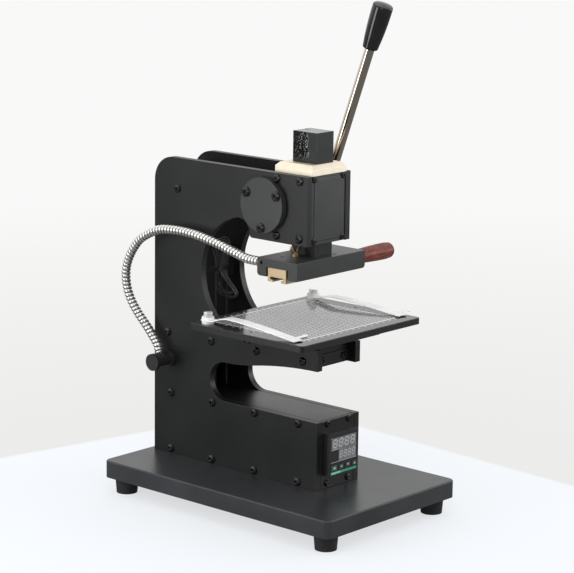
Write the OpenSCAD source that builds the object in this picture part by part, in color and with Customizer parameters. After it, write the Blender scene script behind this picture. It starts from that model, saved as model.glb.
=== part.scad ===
// Bench hot foil stamping press: two side plates on a base, a heated ram driven by a rack and pinion,
// and a printed table that slides out in front. Millimetres. +Z is up, the front faces -Y, and +X is
// to the right seen from the front. The origin lies on the standing surface under the base's middle.

/* [Base] */
// Width of the base plate
base_w = 220; // [200:1:260]
// Length of the base plate, front to back
base_l = 340; // [330:1:400]
// Thickness of the base plate
base_t = 20; // [16:1:30]
// Radius of the base plate's upright corners
base_r = 8; // [3:0.5:15]
// Bevel along the base plate's top edges
base_bevel = 1.2; // [0.4:0.1:2.5]
// Height of the rubber feet
foot_h = 18; // [14:1:25]
// Radius of a foot under the base
foot_r = 13.5; // [12:0.5:16]
// Distance of a foot's middle from the base's edges
foot_in = 19; // [17:0.5:25]

/* [Frame] */
// Thickness of a side plate
plate_t = 8; // [6:0.5:10]
// Clear width between the side plates
plate_gap = 56; // [54:1:62]
// Height of the side plates above the base
frame_h = 347.5; // [340:0.5:360]
// Distance of the frame's back edge from the base's back edge
frame_in = 9; // [6:1:14]
// Distance of the box's and the arm's front edge before the origin
frame_front = 88; // [84:1:92]
// Distance of the head's front edge before the origin
head_front = 69.6; // [68:0.2:74]
// Depth of the head, from the side plates' top to its lower edge
head_deep = 76.5; // [75:0.5:80]
// Radius of the side plates' rounded top corner
top_r = 28; // [15:1:40]
// Radius of the round throat
throat_r = 70.5; // [66:0.5:74]
// Depth of the throat's centre under the head's lower edge
throat_down = 48.5; // [46:0.5:51]
// Throat's lower middle above the arm's top; a taller frame gets a straight back above it
throat_up = 63.5; // [60.5:0.5:65.5]
// Distance of the throat's centre behind the origin
throat_y = 17; // [12:1:22]
// Where the head's lower edge turns up into the throat, behind the origin
throat_lip = 13.5; // [10:0.5:16]
// Radius between the throat and that upright edge
throat_fillet = 17; // [12:0.5:20]
// Height of the arm's top edge above the base
arm_up = 159; // [156:0.5:162]
// Rise of the arm's lower edge from the slot to the front
arm_rise = 12.9; // [6:0.1:16]
// Radius of the curve that starts that rise
arm_cove = 250; // [200:10:300]
// Height of the electric box above the base
box_h = 77.5; // [76:0.5:79]
// Radius of the round end of the slot under the arm
slot_r = 22.5; // [20:0.5:23]
// Distance of the slot's round end behind the origin
slot_y = 50.5; // [40:0.5:55]
// Thickness of the box's bottom plate
bottom_t = 12; // [10:0.5:14]
// Thickness of the box's top plate
top_t = 10; // [9:0.5:12]
// Thickness of the arm plate
arm_t = 12; // [10:0.5:13]
// Depth of the arm plate's top under the side plates' arm edge
rail_sink = 9; // [8:0.2:10]
// Setback of the arm's front plate from the side plates' front
arm_setback = 9; // [6:0.5:14]
// Thickness of the arm's front plate
arm_front_t = 4; // [3:0.5:6]
// Thickness of the box's front and back panels
panel_t = 3; // [2:0.5:4]
// Radius of the rear spacer bar
spacer_r = 8; // [6:0.5:10]
// Distance of the rear spacer from the frame's back edge
spacer_in = 36.6; // [32:0.5:45]
// Depth of the rear spacer under the frame's top
spacer_down = 35.3; // [32:0.5:45]

/* [Screws] */
// Thread size of the side plate screws
side_m = 5; // [4:0.5:5]
// Thread size of the cover and panel screws
cover_m = 4; // [3:0.5:4]
// Thread size of the spring housing screws
housing_m = 6; // [5:0.5:6]
// Distance of the first and last arm screw from the frame's ends
arm_screw_in = 21.5; // [18:0.5:26]
// Distance of the first and last box screw from the frame's ends
box_screw_in = 27; // [22:0.5:32]

/* [Ram drive] */
// Distance of the ram's axis before the origin
ram_y = 46; // [44:0.5:47]
// Width of the ram bar
ram_w = 28; // [24:1:32]
// Depth of the ram bar, front to back
ram_d = 34; // [30:1:36]
// Length of the ram bar
ram_l = 136.2; // [130:0.2:150]
// Module of the rack and the pinion
gear_m = 2; // [1.5:0.5:2]
// Number of teeth on the pinion
gear_n = 22; // [20:1:22]
// Depth of the pinion's axis under the side plates' top
pinion_down = 37; // [36:0.5:38]
// Width of the pinion's teeth
pinion_w = 20; // [14:1:26]
// Radius of the lever shaft
shaft_r = 7; // [6:0.5:8]
// Wall of the shaft's bushes
bush_wall = 3; // [2:0.5:4]
// Radius of the spring housing
housing_r = 30.6; // [29:0.2:31]
// Thickness of the spring housing
housing_t = 7; // [6:0.5:10]
// Radius of the housing screws' circle
housing_screw_r = 25.2; // [25:0.1:25.4]
// Turns of the return spring
spring_turns = 5; // [3:1:6]

/* [Guides and covers] */
// Length of the guides, front to back
guide_l = 54.5; // [52:0.5:56]
// Height of the brass guide above the side plates
guide_proud = 11; // [8:0.5:14]
// Bevel round the brass guide's top
guide_bevel = 4.3; // [2:0.1:5]
// Height of the bottom guide
low_guide_h = 15; // [12:0.5:16]
// Distance of the guides' screws from each other
guide_screw_gap = 33; // [30:0.5:36]
// Thickness of the head's front cover
cover_t = 3.6; // [3:0.1:4]
// Width of the front cover's border
cover_border = 3.6; // [3:0.1:5]

/* [Lever] */
// Distance of the lever's plane from the middle of the machine
lever_x = 64; // [62:1:70]
// Lean of the lever towards the front, in degrees
lever_lean = 20; // [10:1:30]
// Distance from the shaft to the knob
rod_l = 180; // [150:1:200]
// Radius of the lever rod
rod_r = 5.5; // [5:0.5:6]
// Length of the lever's knob
knob_l = 53; // [45:1:60]
// Radius of the knob's thick end
knob_r = 11.5; // [10:0.5:12]

/* [Heating block] */
// Width of the heating block, side to side
block_w = 114; // [106:1:120]
// Depth of the heating block, front to back
block_d = 58; // [56:1:62]
// Height of the heating block
block_h = 20; // [20:0.5:22]
// Gap between the head's lower edge and the heating block
block_drop = 14.7; // [14:0.1:20]
// Width of the block's slot for the die holder
slot_w = 31.4; // [30:0.2:32]
// Width of the brass die holder
holder_w = 26.4; // [26:0.2:27]
// Height of the die holder that shows under the block
holder_low = 4.5; // [4:0.1:6]
// Width of the mouth of the die holder's groove
groove_mouth = 11.7; // [9:0.1:13]
// Width of the die holder's groove above its lips
groove_w = 19.5; // [16:0.1:21]
// Radius of the handle's thick end
handle_r = 9.6; // [9:0.1:11]
// Length of the handle
handle_l = 77; // [60:1:90]

/* [Table] */
// Width of the table
table_w = 200.8; // [190:0.2:210]
// Length of the table, front to back
table_l = 164.6; // [160:0.2:170]
// Thickness of the table
table_t = 7.3; // [6:0.1:8]
// Distance of the table's middle before the origin
table_y = 39.3; // [37:0.1:41]
// Travel of the table
table_travel = 90; // [60:1:95]
// Width of the carriage plate
carriage_w = 80; // [70:1:90]
// Thickness of the carriage plate
carriage_t = 4; // [3.5:0.1:6]
// Height of the carriage block
carriage_h = 18.7; // [18:0.1:22]
// Width of a slide rail
rail_w = 6; // [5.5:0.1:7]
// Height of a slide rail
rail_h = 8.5; // [8:0.1:9]
// Distance of the thumb screws and strips from the table's middle
strip_x = 88; // [86:0.5:90]
// Width of a hold-down strip
strip_w = 13.4; // [11:0.2:14]
// Thickness of a hold-down strip
strip_t = 0.9; // [0.8:0.1:1.2]
// Radius of the thumb screws' white washers
washer_r = 6.85; // [6:0.05:7.5]

/* [Electrics] */
// Side of the controller's square front
bezel = 48; // [47:0.5:49]
// Side of the controller's case behind the panel
case_w = 44.8; // [44:0.1:45]
// Depth of the controller's case
case_d = 72; // [60:1:80]
// Thickness of the controller's front
bezel_t = 9.5; // [9:0.1:11]
// Travel of a controller key
key_travel = 0.8; // [0.5:0.1:1]
// Distance of the conduit gland from the frame's back edge
gland_in = 25; // [23:1:28]
// Height of the conduit gland above the base
gland_up = 113; // [108:1:118]
// Outer radius of the conduit's ribs
conduit_r = 5.3; // [4.5:0.1:5.5]
// Wall of the conduit between the ribs
conduit_wall = 0.8; // [0.6:0.1:1]
// Distance from rib to rib along the conduit
rib_pitch = 4.6; // [4.2:0.1:6]
// Radius of the spare lead
lead_r = 1.1; // [1:0.05:1.2]
// Loops in the spare lead's hank
lead_loops = 5; // [3:1:5]

/* [Fits] */
// Radial clearance of shafts, pins and threads
fit = 0.05; // [0.02:0.01:0.08]
// Clearance of faces that slide on each other
slide = 0.2; // [0.15:0.05:0.3]
// Clearance of pieces that only lie near each other
near = 0.3; // [0.25:0.05:0.4]

/* [Hidden] */
$fn = 48;

// Heights above the standing surface
deck = foot_h + base_t;
frame_top = deck + frame_h;
head_z = frame_top - head_deep;
throat_z = head_z - throat_down;
arm_top = deck + arm_up;
throat_drop = max(0, throat_z - arm_top - throat_up);
box_top = deck + box_h;
slot_z = box_top + slot_r;
arm_plate_top = arm_top - rail_sink;
arm_plate_z = arm_plate_top - arm_t;
box_plate_z = box_top - top_t;

// Places across and along the machine
inner = plate_gap / 2;
outer = inner + plate_t;
face = inner - near / 2;
back = base_l / 2 - frame_in;
front = -frame_front;
head_y = -head_front;

// Fastener shapes, as shares of the thread size
head_share = 1.9;
head_rise_share = 0.55;
socket_share = 0.7;

// Screw places
function spread(a, b, n) = [for (i = [0:n - 1]) a + (b - a) * i / (n - 1)];
rows = 4;
arm_rows = spread(front + arm_screw_in, back - arm_screw_in, rows);
box_rows = spread(front + box_screw_in, back - box_screw_in, rows);
spacer_y = back - spacer_in;
spacer_z = frame_top - spacer_down;
guide_y = head_y + guide_l / 2;
guide_rows = [guide_y - guide_screw_gap / 2, guide_y + guide_screw_gap / 2];

// Ram drive
ry = -ram_y;
pitch_r = gear_m * gear_n / 2;
tip_r = pitch_r + gear_m;
root_r = pitch_r - 1.25 * gear_m;
press_angle = 20;
rack_face = ry + ram_d / 2;
shaft_y = rack_face - gear_m + pitch_r;
shaft_z = frame_top - pinion_down;
block_top = head_z - block_drop;
block_z = block_top - block_h;
stroke_deg = 100;
stroke = pitch_r * stroke_deg * PI / 180;
bush_r = shaft_r + fit + bush_wall;
bush_flange_t = 1.5;
bush_flange = 2;
boss_x = inner - bush_flange_t - slide;
guide_z = shaft_z + tip_r + 1.1;
guide_top = frame_top + guide_proud;
guide_screw_z = guide_z + 6;
low_guide_screw_z = head_z + low_guide_h / 2;

// Heating block, from the ram's axis outwards
slot_roof = block_top - 9.3;
key_neck = 7.8;
key_flange = 12.6;
key_flange_h = 2.6;
key_lip = 3;
holder_z = block_z - holder_low;
holder_top = slot_roof - slide;
lip_t = 2.2;
groove_h = 3.2;
handle_z = (holder_top + holder_z + lip_t + groove_h) / 2;
ferrule_x = -50;
ferrule_z = block_top - 6.3;
block_front = ry - block_d / 2;
block_back = ry + block_d / 2;

// Table stack
carriage_z = arm_plate_top + near;
carriage_top = carriage_z + carriage_h;
table_z = carriage_top + carriage_t;
table_top = table_z + table_t;
ty = -table_y;
rail_tongue = 2.5;
tongue_h = 2.4;
block_y0 = front + arm_setback + 1;
block_y1 = 58;
thumb_y = ty + 66.3;
strip_front = ty - 58.5;
tab_reach = 23.5;
tab_w = 7;
eyelet_r = 3.2;
eyelet_hole_r = 1.5;
strip_rise = [7, 4.9];
washer_low_h = 3.1;
washer_up_h = 3;

// Electric box
controller_z = (deck + box_plate_z) / 2 + 6.3;
panel_y = front + panel_t;
key_xs = [-16.3, -4.6, 6.7, 18];
key_z = controller_z - 15.3;
key_w = 9.4;
key_h = 5.6;
key_proud = 0.7;
key_depth = 3.4;
inlet_z = deck + 37;
switch_z = box_top + 30;
terminal_y = back - 49;
terminal_top = deck + bottom_t + 14;
gland_y = back - gland_in;
gland_z = deck + gland_up;
gland_lean = 28;
gland_r = 6.5;
port_r = 6.3;
port_l = 9.5;

// Conduit route from the gland's port to the heating block, chosen by eye
conduit_x = -48;
gland_end = -62;
port_dir = [0, sin(gland_lean), cos(gland_lean)];
port_at = [conduit_x, gland_y, gland_z] + port_l * port_dir;
conduit_route = concat([for (s = [0, 5, 12]) port_at + s * port_dir],
    [[-49.2, 162.5, 189], [-50.6, 175.3, 203], [-51.6, 186, 219], [-52.2, 191, 236],
     [-52.6, 190, 254], [-52.7, 182.5, 271], [-52.9, 168.8, 287.6], [-53, 151, 298.3],
     [-53, 134, 304.3], [-52.6, 115, 306.3], [-52, 96, 306.2], [-51.5, 78, 304.5],
     [-50.8, 61, 301.5], [-50, 43, 297.5], [-50, 25, 293], [-50, 8, 289]],
    [for (s = [14, 6, 0.1]) [ferrule_x, block_back + s + 0.9, ferrule_z]]);

// Hank of spare lead on the right plate's inner face
hank_y = back - 56;
hank_z = throat_z - 6.5;
hank_waist = 1.9;
hank_lobe_w = 16;
hank_low_w = 30;
hank_low_h = 29.5;
hank_lean = 13;
hank_spread = 1.1;
hank_lobe_h = 33;
hank_pitch = 2.7;
hank_x = inner - 3.9 - lead_loops * hank_pitch;

// General shapes

module block(x0, x1, y0, y1, z0, z1) {
    translate([x0, y0, z0]) cube([x1 - x0, y1 - y0, z1 - z0]);
}

// A solid with an outline in Y and Z, from x0 to x1
module across(x0, x1) {
    translate([x0, 0, 0]) rotate([90, 0, 90]) linear_extrude(x1 - x0) children();
}

// A solid with an outline in X and Z, from y0 to y1
module along(y0, y1) {
    translate([0, y1, 0]) rotate([90, 0, 0]) linear_extrude(y1 - y0) children();
}

module rod_x(x0, x1, y, z, r) {
    translate([x0, y, z]) rotate([0, 90, 0]) cylinder(h = x1 - x0, r = r);
}

module rod_y(x, y0, y1, z, r) {
    translate([x, y1, z]) rotate([90, 0, 0]) cylinder(h = y1 - y0, r = r);
}

module rod_z(x, y, z0, z1, r) {
    translate([x, y, z0]) cylinder(h = z1 - z0, r = r);
}

// Turns a piece that points up so that it points away from one side of the machine
module on_left(y, z, x = outer) {
    translate([-x, y, z]) rotate([0, -90, 0]) children();
}

module on_right(y, z, x = outer) {
    translate([x, y, z]) rotate([0, 90, 0]) children();
}

module on_front(x, y, z) {
    translate([x, y, z]) rotate([90, 0, 0]) children();
}

module on_back(x, y, z) {
    translate([x, y, z]) rotate([-90, 0, 0]) children();
}

module button_screw(m, l) {
    head = m * head_share / 2;
    rise = m * head_rise_share;
    difference() {
        union() {
            cylinder(h = rise * 0.45, r = head);
            translate([0, 0, rise * 0.45]) cylinder(h = rise * 0.55, r1 = head, r2 = head * 0.62);
            translate([0, 0, -l]) cylinder(h = l + rise * 0.2, r = m / 2 - fit);
        }
        translate([0, 0, rise * 0.4]) cylinder(h = rise, r = m * socket_share / 2, $fn = 6);
    }
}

module cap_screw(m, l) {
    difference() {
        union() {
            cylinder(h = m * 0.9, r = m * 0.82);
            translate([0, 0, -l]) cylinder(h = l + m * 0.2, r = m / 2 - fit);
        }
        translate([0, 0, m * 0.45]) cylinder(h = m, r = m * 0.45, $fn = 6);
    }
}

function unit(v) = v / norm(v);

// Points of an arc in a plane, from angle a0 to angle a1
function arc(cx, cy, r, a0, a1, n) =
    [for (i = [0:n]) let (a = a0 + (a1 - a0) * i / n) [cx + r * cos(a), cy + r * sin(a)]];

// One ring of a tube round the point c, square to the direction t
function ring(c, t, r, n) =
    let (a = unit([1, 0, 0] - t[0] * t), b = cross(t, a))
    [for (k = [0:n - 1]) c + r * cos(360 * k / n) * a + r * sin(360 * k / n) * b];

// Triangles between rings j and j + 1 of n points each
function wall_faces(j, i, n) =
    [for (k = [0:n - 1]) let (l = (k + 1) % n)
        each [[j * n + k, i * n + k, i * n + l], [j * n + k, i * n + l, j * n + l]]];

// A closed tube through a list of rings
module tube(rings, n) {
    last = len(rings) - 1;
    polyhedron(points = [for (r = rings) each r], faces = concat(
        [for (k = [1:n - 2]) [0, k, k + 1]],
        [for (j = [0:last - 1]) each wall_faces(j, j + 1, n)],
        [for (k = [1:n - 2]) [last * n, last * n + k + 1, last * n + k]]));
}

// A tube with a bore: the rings run along the outside and back along the inside
module hollow_tube(rings, n) {
    last = len(rings) - 1;
    polyhedron(points = [for (r = rings) each r], faces = concat(
        [for (j = [0:last - 1]) each wall_faces(j, j + 1, n)], wall_faces(last, 0, n)));
}

// A smooth curve through the points p, with m steps between neighbours
function blend_point(a, b, c, d, u) = 0.5 * (2 * b + (c - a) * u
    + (2 * a - 5 * b + 4 * c - d) * u * u + (3 * b - a - 3 * c + d) * u * u * u);

function curve(p, m) = let (e = len(p) - 1)
    [for (i = [0:e - 1], j = [0:m - (i == e - 1 ? 0 : 1)])
        blend_point(p[max(i - 1, 0)], p[i], p[i + 1], p[min(i + 2, e)], j / m)];

// Lengths along the points p, from the first point to each
function lengths(p) = [for (i = 0, s = 0; i < len(p);
    s = s + (i + 1 < len(p) ? norm(p[i + 1] - p[i]) : 0), i = i + 1) s];

// Frame

function plate_outline() =
    let (lip_y = throat_lip + throat_fillet, reach = throat_r - throat_fillet,
         lip_z = throat_z + sqrt(reach * reach - pow(lip_y - throat_y, 2)),
         lip_a = atan2(lip_z - throat_z, lip_y - throat_y),
         low_a = asin((throat_z - throat_drop - arm_top) / throat_r),
         arm_low = slot_z + slot_r, run = slot_y - front,
         cove_l = 2 * arm_cove * arm_rise / run,
         crown = (run * run / (2 * arm_rise)) - arm_cove, knots = 12)
    concat([[back, deck]],
        arc(back - top_r, frame_top - top_r, top_r, 0, 90, 12),
        [[head_y, frame_top], [head_y, head_z]],
        arc(throat_lip - 3, head_z + 3, 3, -90, -10, 3),
        arc(lip_y, lip_z, throat_fillet, 180, lip_a, 12),
        [for (q = arc(throat_y, throat_z, throat_r, lip_a, -low_a, 56))
            [q[0], q[1] - (q[1] < throat_z ? throat_drop : 0)]],
        [[front, arm_top]],
        [for (i = [0:knots]) let (s = run * (1 - i / knots))
            [slot_y - s, arm_low + (s < cove_l ? s * s / (2 * arm_cove)
                : arm_rise - pow(run - s, 2) / (2 * crown))]],
        [for (i = [1:28]) arc(slot_y, slot_z, slot_r, 90, -90, 28)[i]],
        [[front, box_top], [front, deck]]);

// Holes that both side plates have
module plate_holes(r) {
    module at(y, z) {
        rod_x(-outer - 1, outer + 1, y, z, r);
    }
    at(spacer_y, spacer_z);
    for (y = guide_rows) {
        at(y, guide_screw_z);
        at(y, low_guide_screw_z);
    }
    for (y = arm_rows) at(y, arm_plate_z + arm_t / 2);
    for (y = box_rows) {
        at(y, box_plate_z + top_t / 2);
        at(y, deck + bottom_t / 2);
    }
}

module rail_marks(r, x0, x1) {
    for (y = [12.4, 20]) rod_x(x0, x1, y, arm_plate_top + 1.6, r);
}

module plate_body(x0, x1) {
    difference() {
        across(x0, x1) polygon(plate_outline());
        plate_holes(side_m / 2 + near);
        rod_x(-outer - 1, outer + 1, shaft_y, shaft_z, bush_r + fit);
    }
}

module side_plate_left() {
    color("#3a3c3e") difference() {
        plate_body(-outer, -inner);
        for (a = [30, 150, 270])
            rod_x(-outer - 1, -inner + 1, shaft_y + housing_screw_r * cos(a),
                shaft_z + housing_screw_r * sin(a), housing_m / 2);
        rod_x(-outer - 1, -inner + 1, gland_y, gland_z, 5 + near);
        rail_marks(1.5, -outer - 1, -inner + 1);
    }
}

module side_plate_right() {
    color("#3a3c3e") plate_body(inner, outer);
}

module side_plate_screws() {
    module pair(y, z, l) {
        on_left(y, z) button_screw(side_m, l);
        on_right(y, z) button_screw(side_m, l);
    }
    l = plate_t + 9;
    color("#2b2c2d") {
        pair(spacer_y, spacer_z, l);
        for (y = guide_rows) {
            pair(y, guide_screw_z, l);
            pair(y, low_guide_screw_z, l);
        }
        for (y = arm_rows) pair(y, arm_plate_z + arm_t / 2, l);
        for (y = box_rows) {
            pair(y, box_plate_z + top_t / 2, l);
            pair(y, deck + bottom_t / 2, l);
        }
    }
}

module rounded_slab(w, l, r, z0, z1, bevel) {
    hull() {
        for (x = [-1, 1], y = [-1, 1]) translate([x * (w / 2 - r), y * (l / 2 - r), z0]) {
            cylinder(h = z1 - z0 - bevel, r = r, $fn = 32);
            cylinder(h = z1 - z0, r = r - bevel, $fn = 32);
        }
    }
}

module at_feet() {
    for (x = [-1, 1], y = [-1, 1])
        translate([x * (base_w / 2 - foot_in), y * (base_l / 2 - foot_in), 0]) children();
}

frame_screw_xs = [-14, 14];
frame_screw_ys = [-45, 95];
frame_screw_m = 6;

module base_plate() {
    color("#3b3f44") difference() {
        rounded_slab(base_w, base_l, base_r, foot_h, deck, base_bevel);
        at_feet() rod_z(0, 0, foot_h - 1, foot_h + 12, side_m / 2);
        for (x = frame_screw_xs, y = frame_screw_ys) {
            rod_z(x, y, foot_h - 1, deck + 1, frame_screw_m / 2 + near);
            rod_z(x, y, foot_h - 1, foot_h + 7, frame_screw_m * 0.82 + near);
        }
    }
}

module rubber_feet() {
    color("#1d1d1d") at_feet() difference() {
        cylinder(h = foot_h, r1 = foot_r - 1.5, r2 = foot_r);
        rod_z(0, 0, -1, foot_h + 1, side_m / 2 + near);
        rod_z(0, 0, -1, foot_h - 6, side_m + 0.5);
    }
}

module base_screws() {
    color("#b9bbbd") {
        at_feet() translate([0, 0, foot_h - 6]) rotate([180, 0, 0]) button_screw(side_m, 17);
        for (x = frame_screw_xs, y = frame_screw_ys)
            translate([x, y, foot_h + 7]) rotate([180, 0, 0]) cap_screw(frame_screw_m, base_t + 2);
    }
}

// Threads for the screws that come through the side plates into a cross plate
module side_threads(ys, z) {
    for (y = ys) for (s = [-1, 1])
        rod_x(s > 0 ? inner - 12 : -inner - 1, s > 0 ? inner + 1 : 12 - inner, y, z, side_m / 2);
}

module box_bottom_plate() {
    color("#333537") difference() {
        block(-face, face, panel_y + near, back - panel_t - near, deck, deck + bottom_t);
        side_threads(box_rows, deck + bottom_t / 2);
        for (x = frame_screw_xs, y = frame_screw_ys)
            rod_z(x, y, deck - 1, deck + bottom_t + 1, frame_screw_m / 2);
        panel_threads();
    }
}

lead_ys = [hank_y - hank_waist, hank_y + hank_waist];
lead_xs = [hank_x - hank_spread, hank_x + (lead_loops - 0.5) * hank_pitch + hank_spread];
lead_hole_r = 2.6;

module lead_holes(z0, z1, r) {
    rod_z(lead_xs[0], lead_ys[1], z0, z1, r);
    rod_z(lead_xs[1], lead_ys[0], z0, z1, r);
}

module box_top_plate() {
    color("#333537") difference() {
        block(-face, face, panel_y + near, back - panel_t - near, box_plate_z, box_top);
        for (s = [-1, 1]) translate([s * face, 0, box_top]) rotate([0, 45, 0])
            cube([0.8, base_l, 0.8], center = true);
        side_threads(box_rows, box_plate_z + top_t / 2);
        lead_holes(box_plate_z - 1, box_top + 1, lead_hole_r);
        rod_z(-14, gland_y, box_plate_z - 1, box_top + 1, 5);
        panel_threads();
    }
}

stop_pin_y = -66;

module arm_plate() {
    color("#333537") difference() {
        block(-face, face, front + arm_setback + arm_front_t, back - panel_t - near,
            arm_plate_z, arm_plate_top);
        side_threads(arm_rows, arm_plate_z + arm_t / 2);
        lead_holes(arm_plate_z - 1, arm_plate_top + 1, lead_hole_r);
        for (x = [-1, 1], y = rail_screw_ys)
            rod_z(x * rail_mid, y, arm_plate_top - 6, arm_plate_top + 1, rail_screw_r);
        rod_z(0, stop_pin_y, arm_plate_top - 7, arm_plate_top + 1, 2);
        for (x = cover_xs)
            rod_y(x, front, front + arm_setback + arm_front_t + 6, arm_plate_z + arm_t / 2,
                cover_m / 2);
        panel_threads();
    }
}

cover_xs = [-17.8, 17.8];

module arm_front_plate() {
    color("#37393b") difference() {
        block(-face, face, front + arm_setback, front + arm_setback + arm_front_t,
            arm_plate_z - 1.5, arm_plate_top);
        for (x = cover_xs)
            rod_y(x, front, front + arm_setback + arm_front_t + 1, arm_plate_z + arm_t / 2,
                cover_m / 2 + near);
    }
}

module rear_spacer() {
    color("#2f3133") difference() {
        rod_x(-face, face, spacer_y, spacer_z, spacer_r);
        side_threads([spacer_y], spacer_z);
    }
}

module ram_hole(z0, z1) {
    block(-ram_w / 2 - slide, ram_w / 2 + slide, ry - ram_d / 2 - slide,
        ry + ram_d / 2 + slide, z0, z1);
}

module top_guide() {
    y0 = head_y - 0.4;
    y1 = y0 + guide_l;
    color("#d9c18c") difference() {
        union() {
            block(-face, face, head_y + cover_t + near, y1, guide_z, frame_top + 0.2);
            hull() {
                block(-face, face, y0 - near, y1, frame_top, guide_top - guide_bevel);
                block(-face + guide_bevel, face - guide_bevel, y0 + guide_bevel,
                    y1 - guide_bevel, frame_top, guide_top);
            }
        }
        ram_hole(guide_z - 1, guide_top + 1);
        side_threads(guide_rows, guide_screw_z);
        rod_z(-outer + 14.5, ry + ram_d / 2 - 3, guide_top - 6, guide_top + 1, 1.6);
        cover_threads();
    }
}

module bottom_guide() {
    color("#37393b") difference() {
        block(-face, face, head_y + cover_t + near, head_y + guide_l, head_z, head_z + low_guide_h);
        ram_hole(head_z - 1, head_z + low_guide_h + 1);
        side_threads(guide_rows, low_guide_screw_z);
        cover_threads();
    }
}

cover_screw_x = inner - 4.3;
cover_screw_zs = [head_z + 4.5, frame_top - 3.8];

module cover_threads() {
    for (x = [-1, 1], z = cover_screw_zs)
        rod_y(x * cover_screw_x, head_y - 1, head_y + cover_t + 4.4, z, cover_m / 2);
}

module front_cover() {
    x = face - cover_border;
    z0 = head_z + cover_border + near;
    z1 = frame_top - cover_border - near;
    color("#404244") difference() {
        union() {
            block(-face, face, head_y + 0.8, head_y + cover_t, head_z + near, frame_top - near);
            hull() {
                block(-x, x, head_y + 0.8, head_y + 1.2, z0, z1);
                block(-x + 0.8, x - 0.8, head_y, head_y + 1.2, z0 + 0.8, z1 - 0.8);
            }
        }
        for (s = [-1, 1], z = cover_screw_zs) {
            rod_y(s * cover_screw_x, head_y - 1, head_y + cover_t + 1, z, cover_m / 2 + near);
            rod_y(s * cover_screw_x, head_y - 1, head_y + 0.8, z,
                cover_m * head_share / 2 + near);
        }
    }
}

panel_zs = [deck + bottom_t / 2, box_plate_z + top_t / 2 + 1.5];
back_zs = [deck + bottom_t / 2, arm_plate_z + arm_t / 2];

// Threads for the panel screws, front and back
module panel_threads() {
    for (x = cover_xs) {
        for (z = panel_zs) rod_y(x, front - 1, panel_y + 9, z, cover_m / 2);
        for (z = back_zs) rod_y(x, back - panel_t - 9, back + 1, z, cover_m / 2);
    }
}

module front_panel() {
    c = case_w / 2 + near;
    color("#37393b") difference() {
        block(-face, face, front, panel_y, deck + near, box_top - near);
        for (s = [-1, 1]) translate([s * face, front, box_top / 2]) rotate([0, 0, 45])
            cube([0.8, 0.8, box_top * 1.2], center = true);
        block(-c, c, front - 1, panel_y + 1, controller_z - c, controller_z + c);
        for (x = cover_xs, z = panel_zs)
            rod_y(x, front - 1, panel_y + 1, z, cover_m / 2 + near);
    }
}

module back_panel() {
    color("#37393b") difference() {
        block(-face, face, back - panel_t, back, deck + near, arm_plate_top);
        block(-14.3, 14.3, back - panel_t - 1, back + 1, inlet_z - 10.3, inlet_z + 10.3);
        block(-6.9 + 9, 6.9 + 9, back - panel_t - 1, back + 1, switch_z - 9.9, switch_z + 9.9);
        rod_y(-12, back - panel_t - 1, back + 1, switch_z, 6.3);
        for (x = cover_xs, z = back_zs)
            rod_y(x, back - panel_t - 1, back + 1, z, cover_m / 2 + near);
        for (x = [-20, 20]) rod_y(x, back - panel_t - 1, back + 1, inlet_z, 1.5);
    }
}

module cover_screws() {
    color("#2b2c2d") {
        for (x = [-1, 1], z = cover_screw_zs)
            on_front(x * cover_screw_x, head_y + 0.8, z) button_screw(cover_m, cover_t + 3.2);
        for (x = cover_xs) {
            for (z = panel_zs) on_front(x, front, z) button_screw(cover_m, panel_t + 8);
            for (z = back_zs) on_back(x, back, z) button_screw(cover_m, panel_t + 8);
            on_front(x, front + arm_setback, arm_plate_z + arm_t / 2)
                button_screw(cover_m, arm_front_t + 5);
        }
        for (a = [30, 150, 270])
            on_left(shaft_y + housing_screw_r * cos(a), shaft_z + housing_screw_r * sin(a),
                outer + housing_t) button_screw(housing_m, housing_t + plate_t - 1);
    }
}

// Drive

housing_bore = 19.5;
spring_w = 4;

module spring_housing() {
    color("#424446") difference() {
        rod_x(-outer - housing_t, -outer, shaft_y, shaft_z, housing_r);
        rod_x(-outer - spring_w - 1, -outer + 1, shaft_y, shaft_z, housing_bore);
        for (a = [30, 150, 270])
            rod_x(-outer - housing_t - 1, -outer + 1, shaft_y + housing_screw_r * cos(a),
                shaft_z + housing_screw_r * sin(a), housing_m / 2 + near);
    }
}

// A flat spiral strip from the shaft's slot to the housing's wall
module return_spring() {
    strip = 0.6;
    r0 = shaft_r + near;
    r1 = housing_bore - strip - 0.1;
    steps = 24 * spring_turns;
    function spiral(o) = [for (i = [0:steps]) let (a = 15 * i, r = r0 + o + (r1 - r0) * i / steps)
        [shaft_y + r * cos(a), shaft_z + r * sin(a)]];
    out = spiral(strip);
    color("#8c9096") across(-outer - spring_w - 0.5, -outer - 0.5)
        polygon(concat(spiral(0), [for (i = [0:steps]) out[steps - i]]));
}

module shaft_bushes() {
    color("#cfae66") for (s = [-1, 1]) difference() {
        union() {
            rod_x(s > 0 ? boss_x + slide : -outer, s > 0 ? outer : -boss_x - slide,
                shaft_y, shaft_z, bush_r);
            rod_x(s > 0 ? boss_x + slide : -inner, s > 0 ? inner : -boss_x - slide,
                shaft_y, shaft_z, bush_r + bush_flange);
        }
        rod_x(-outer - 1, outer + 1, shaft_y, shaft_z, shaft_r + fit);
    }
}

module lever_shaft() {
    key = 2.4;
    color("#a6a8aa") difference() {
        union() {
            rod_x(-outer - spring_w, lever_x + 7, shaft_y, shaft_z, shaft_r);
            block(-pinion_w / 2, pinion_w / 2, shaft_y - 2.5, shaft_y + 2.5, shaft_z,
                shaft_z + shaft_r + key);
        }
        block(-outer - spring_w - 1, -outer - 0.2, shaft_y - 0.6, shaft_y + 0.6,
            shaft_z - shaft_r - 1, shaft_z + shaft_r + 1);
    }
}

// Involute outline of the pinion, with one tooth pointing at the rack
function involute(a) = tan(a) * 180 / PI - a;

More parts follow.
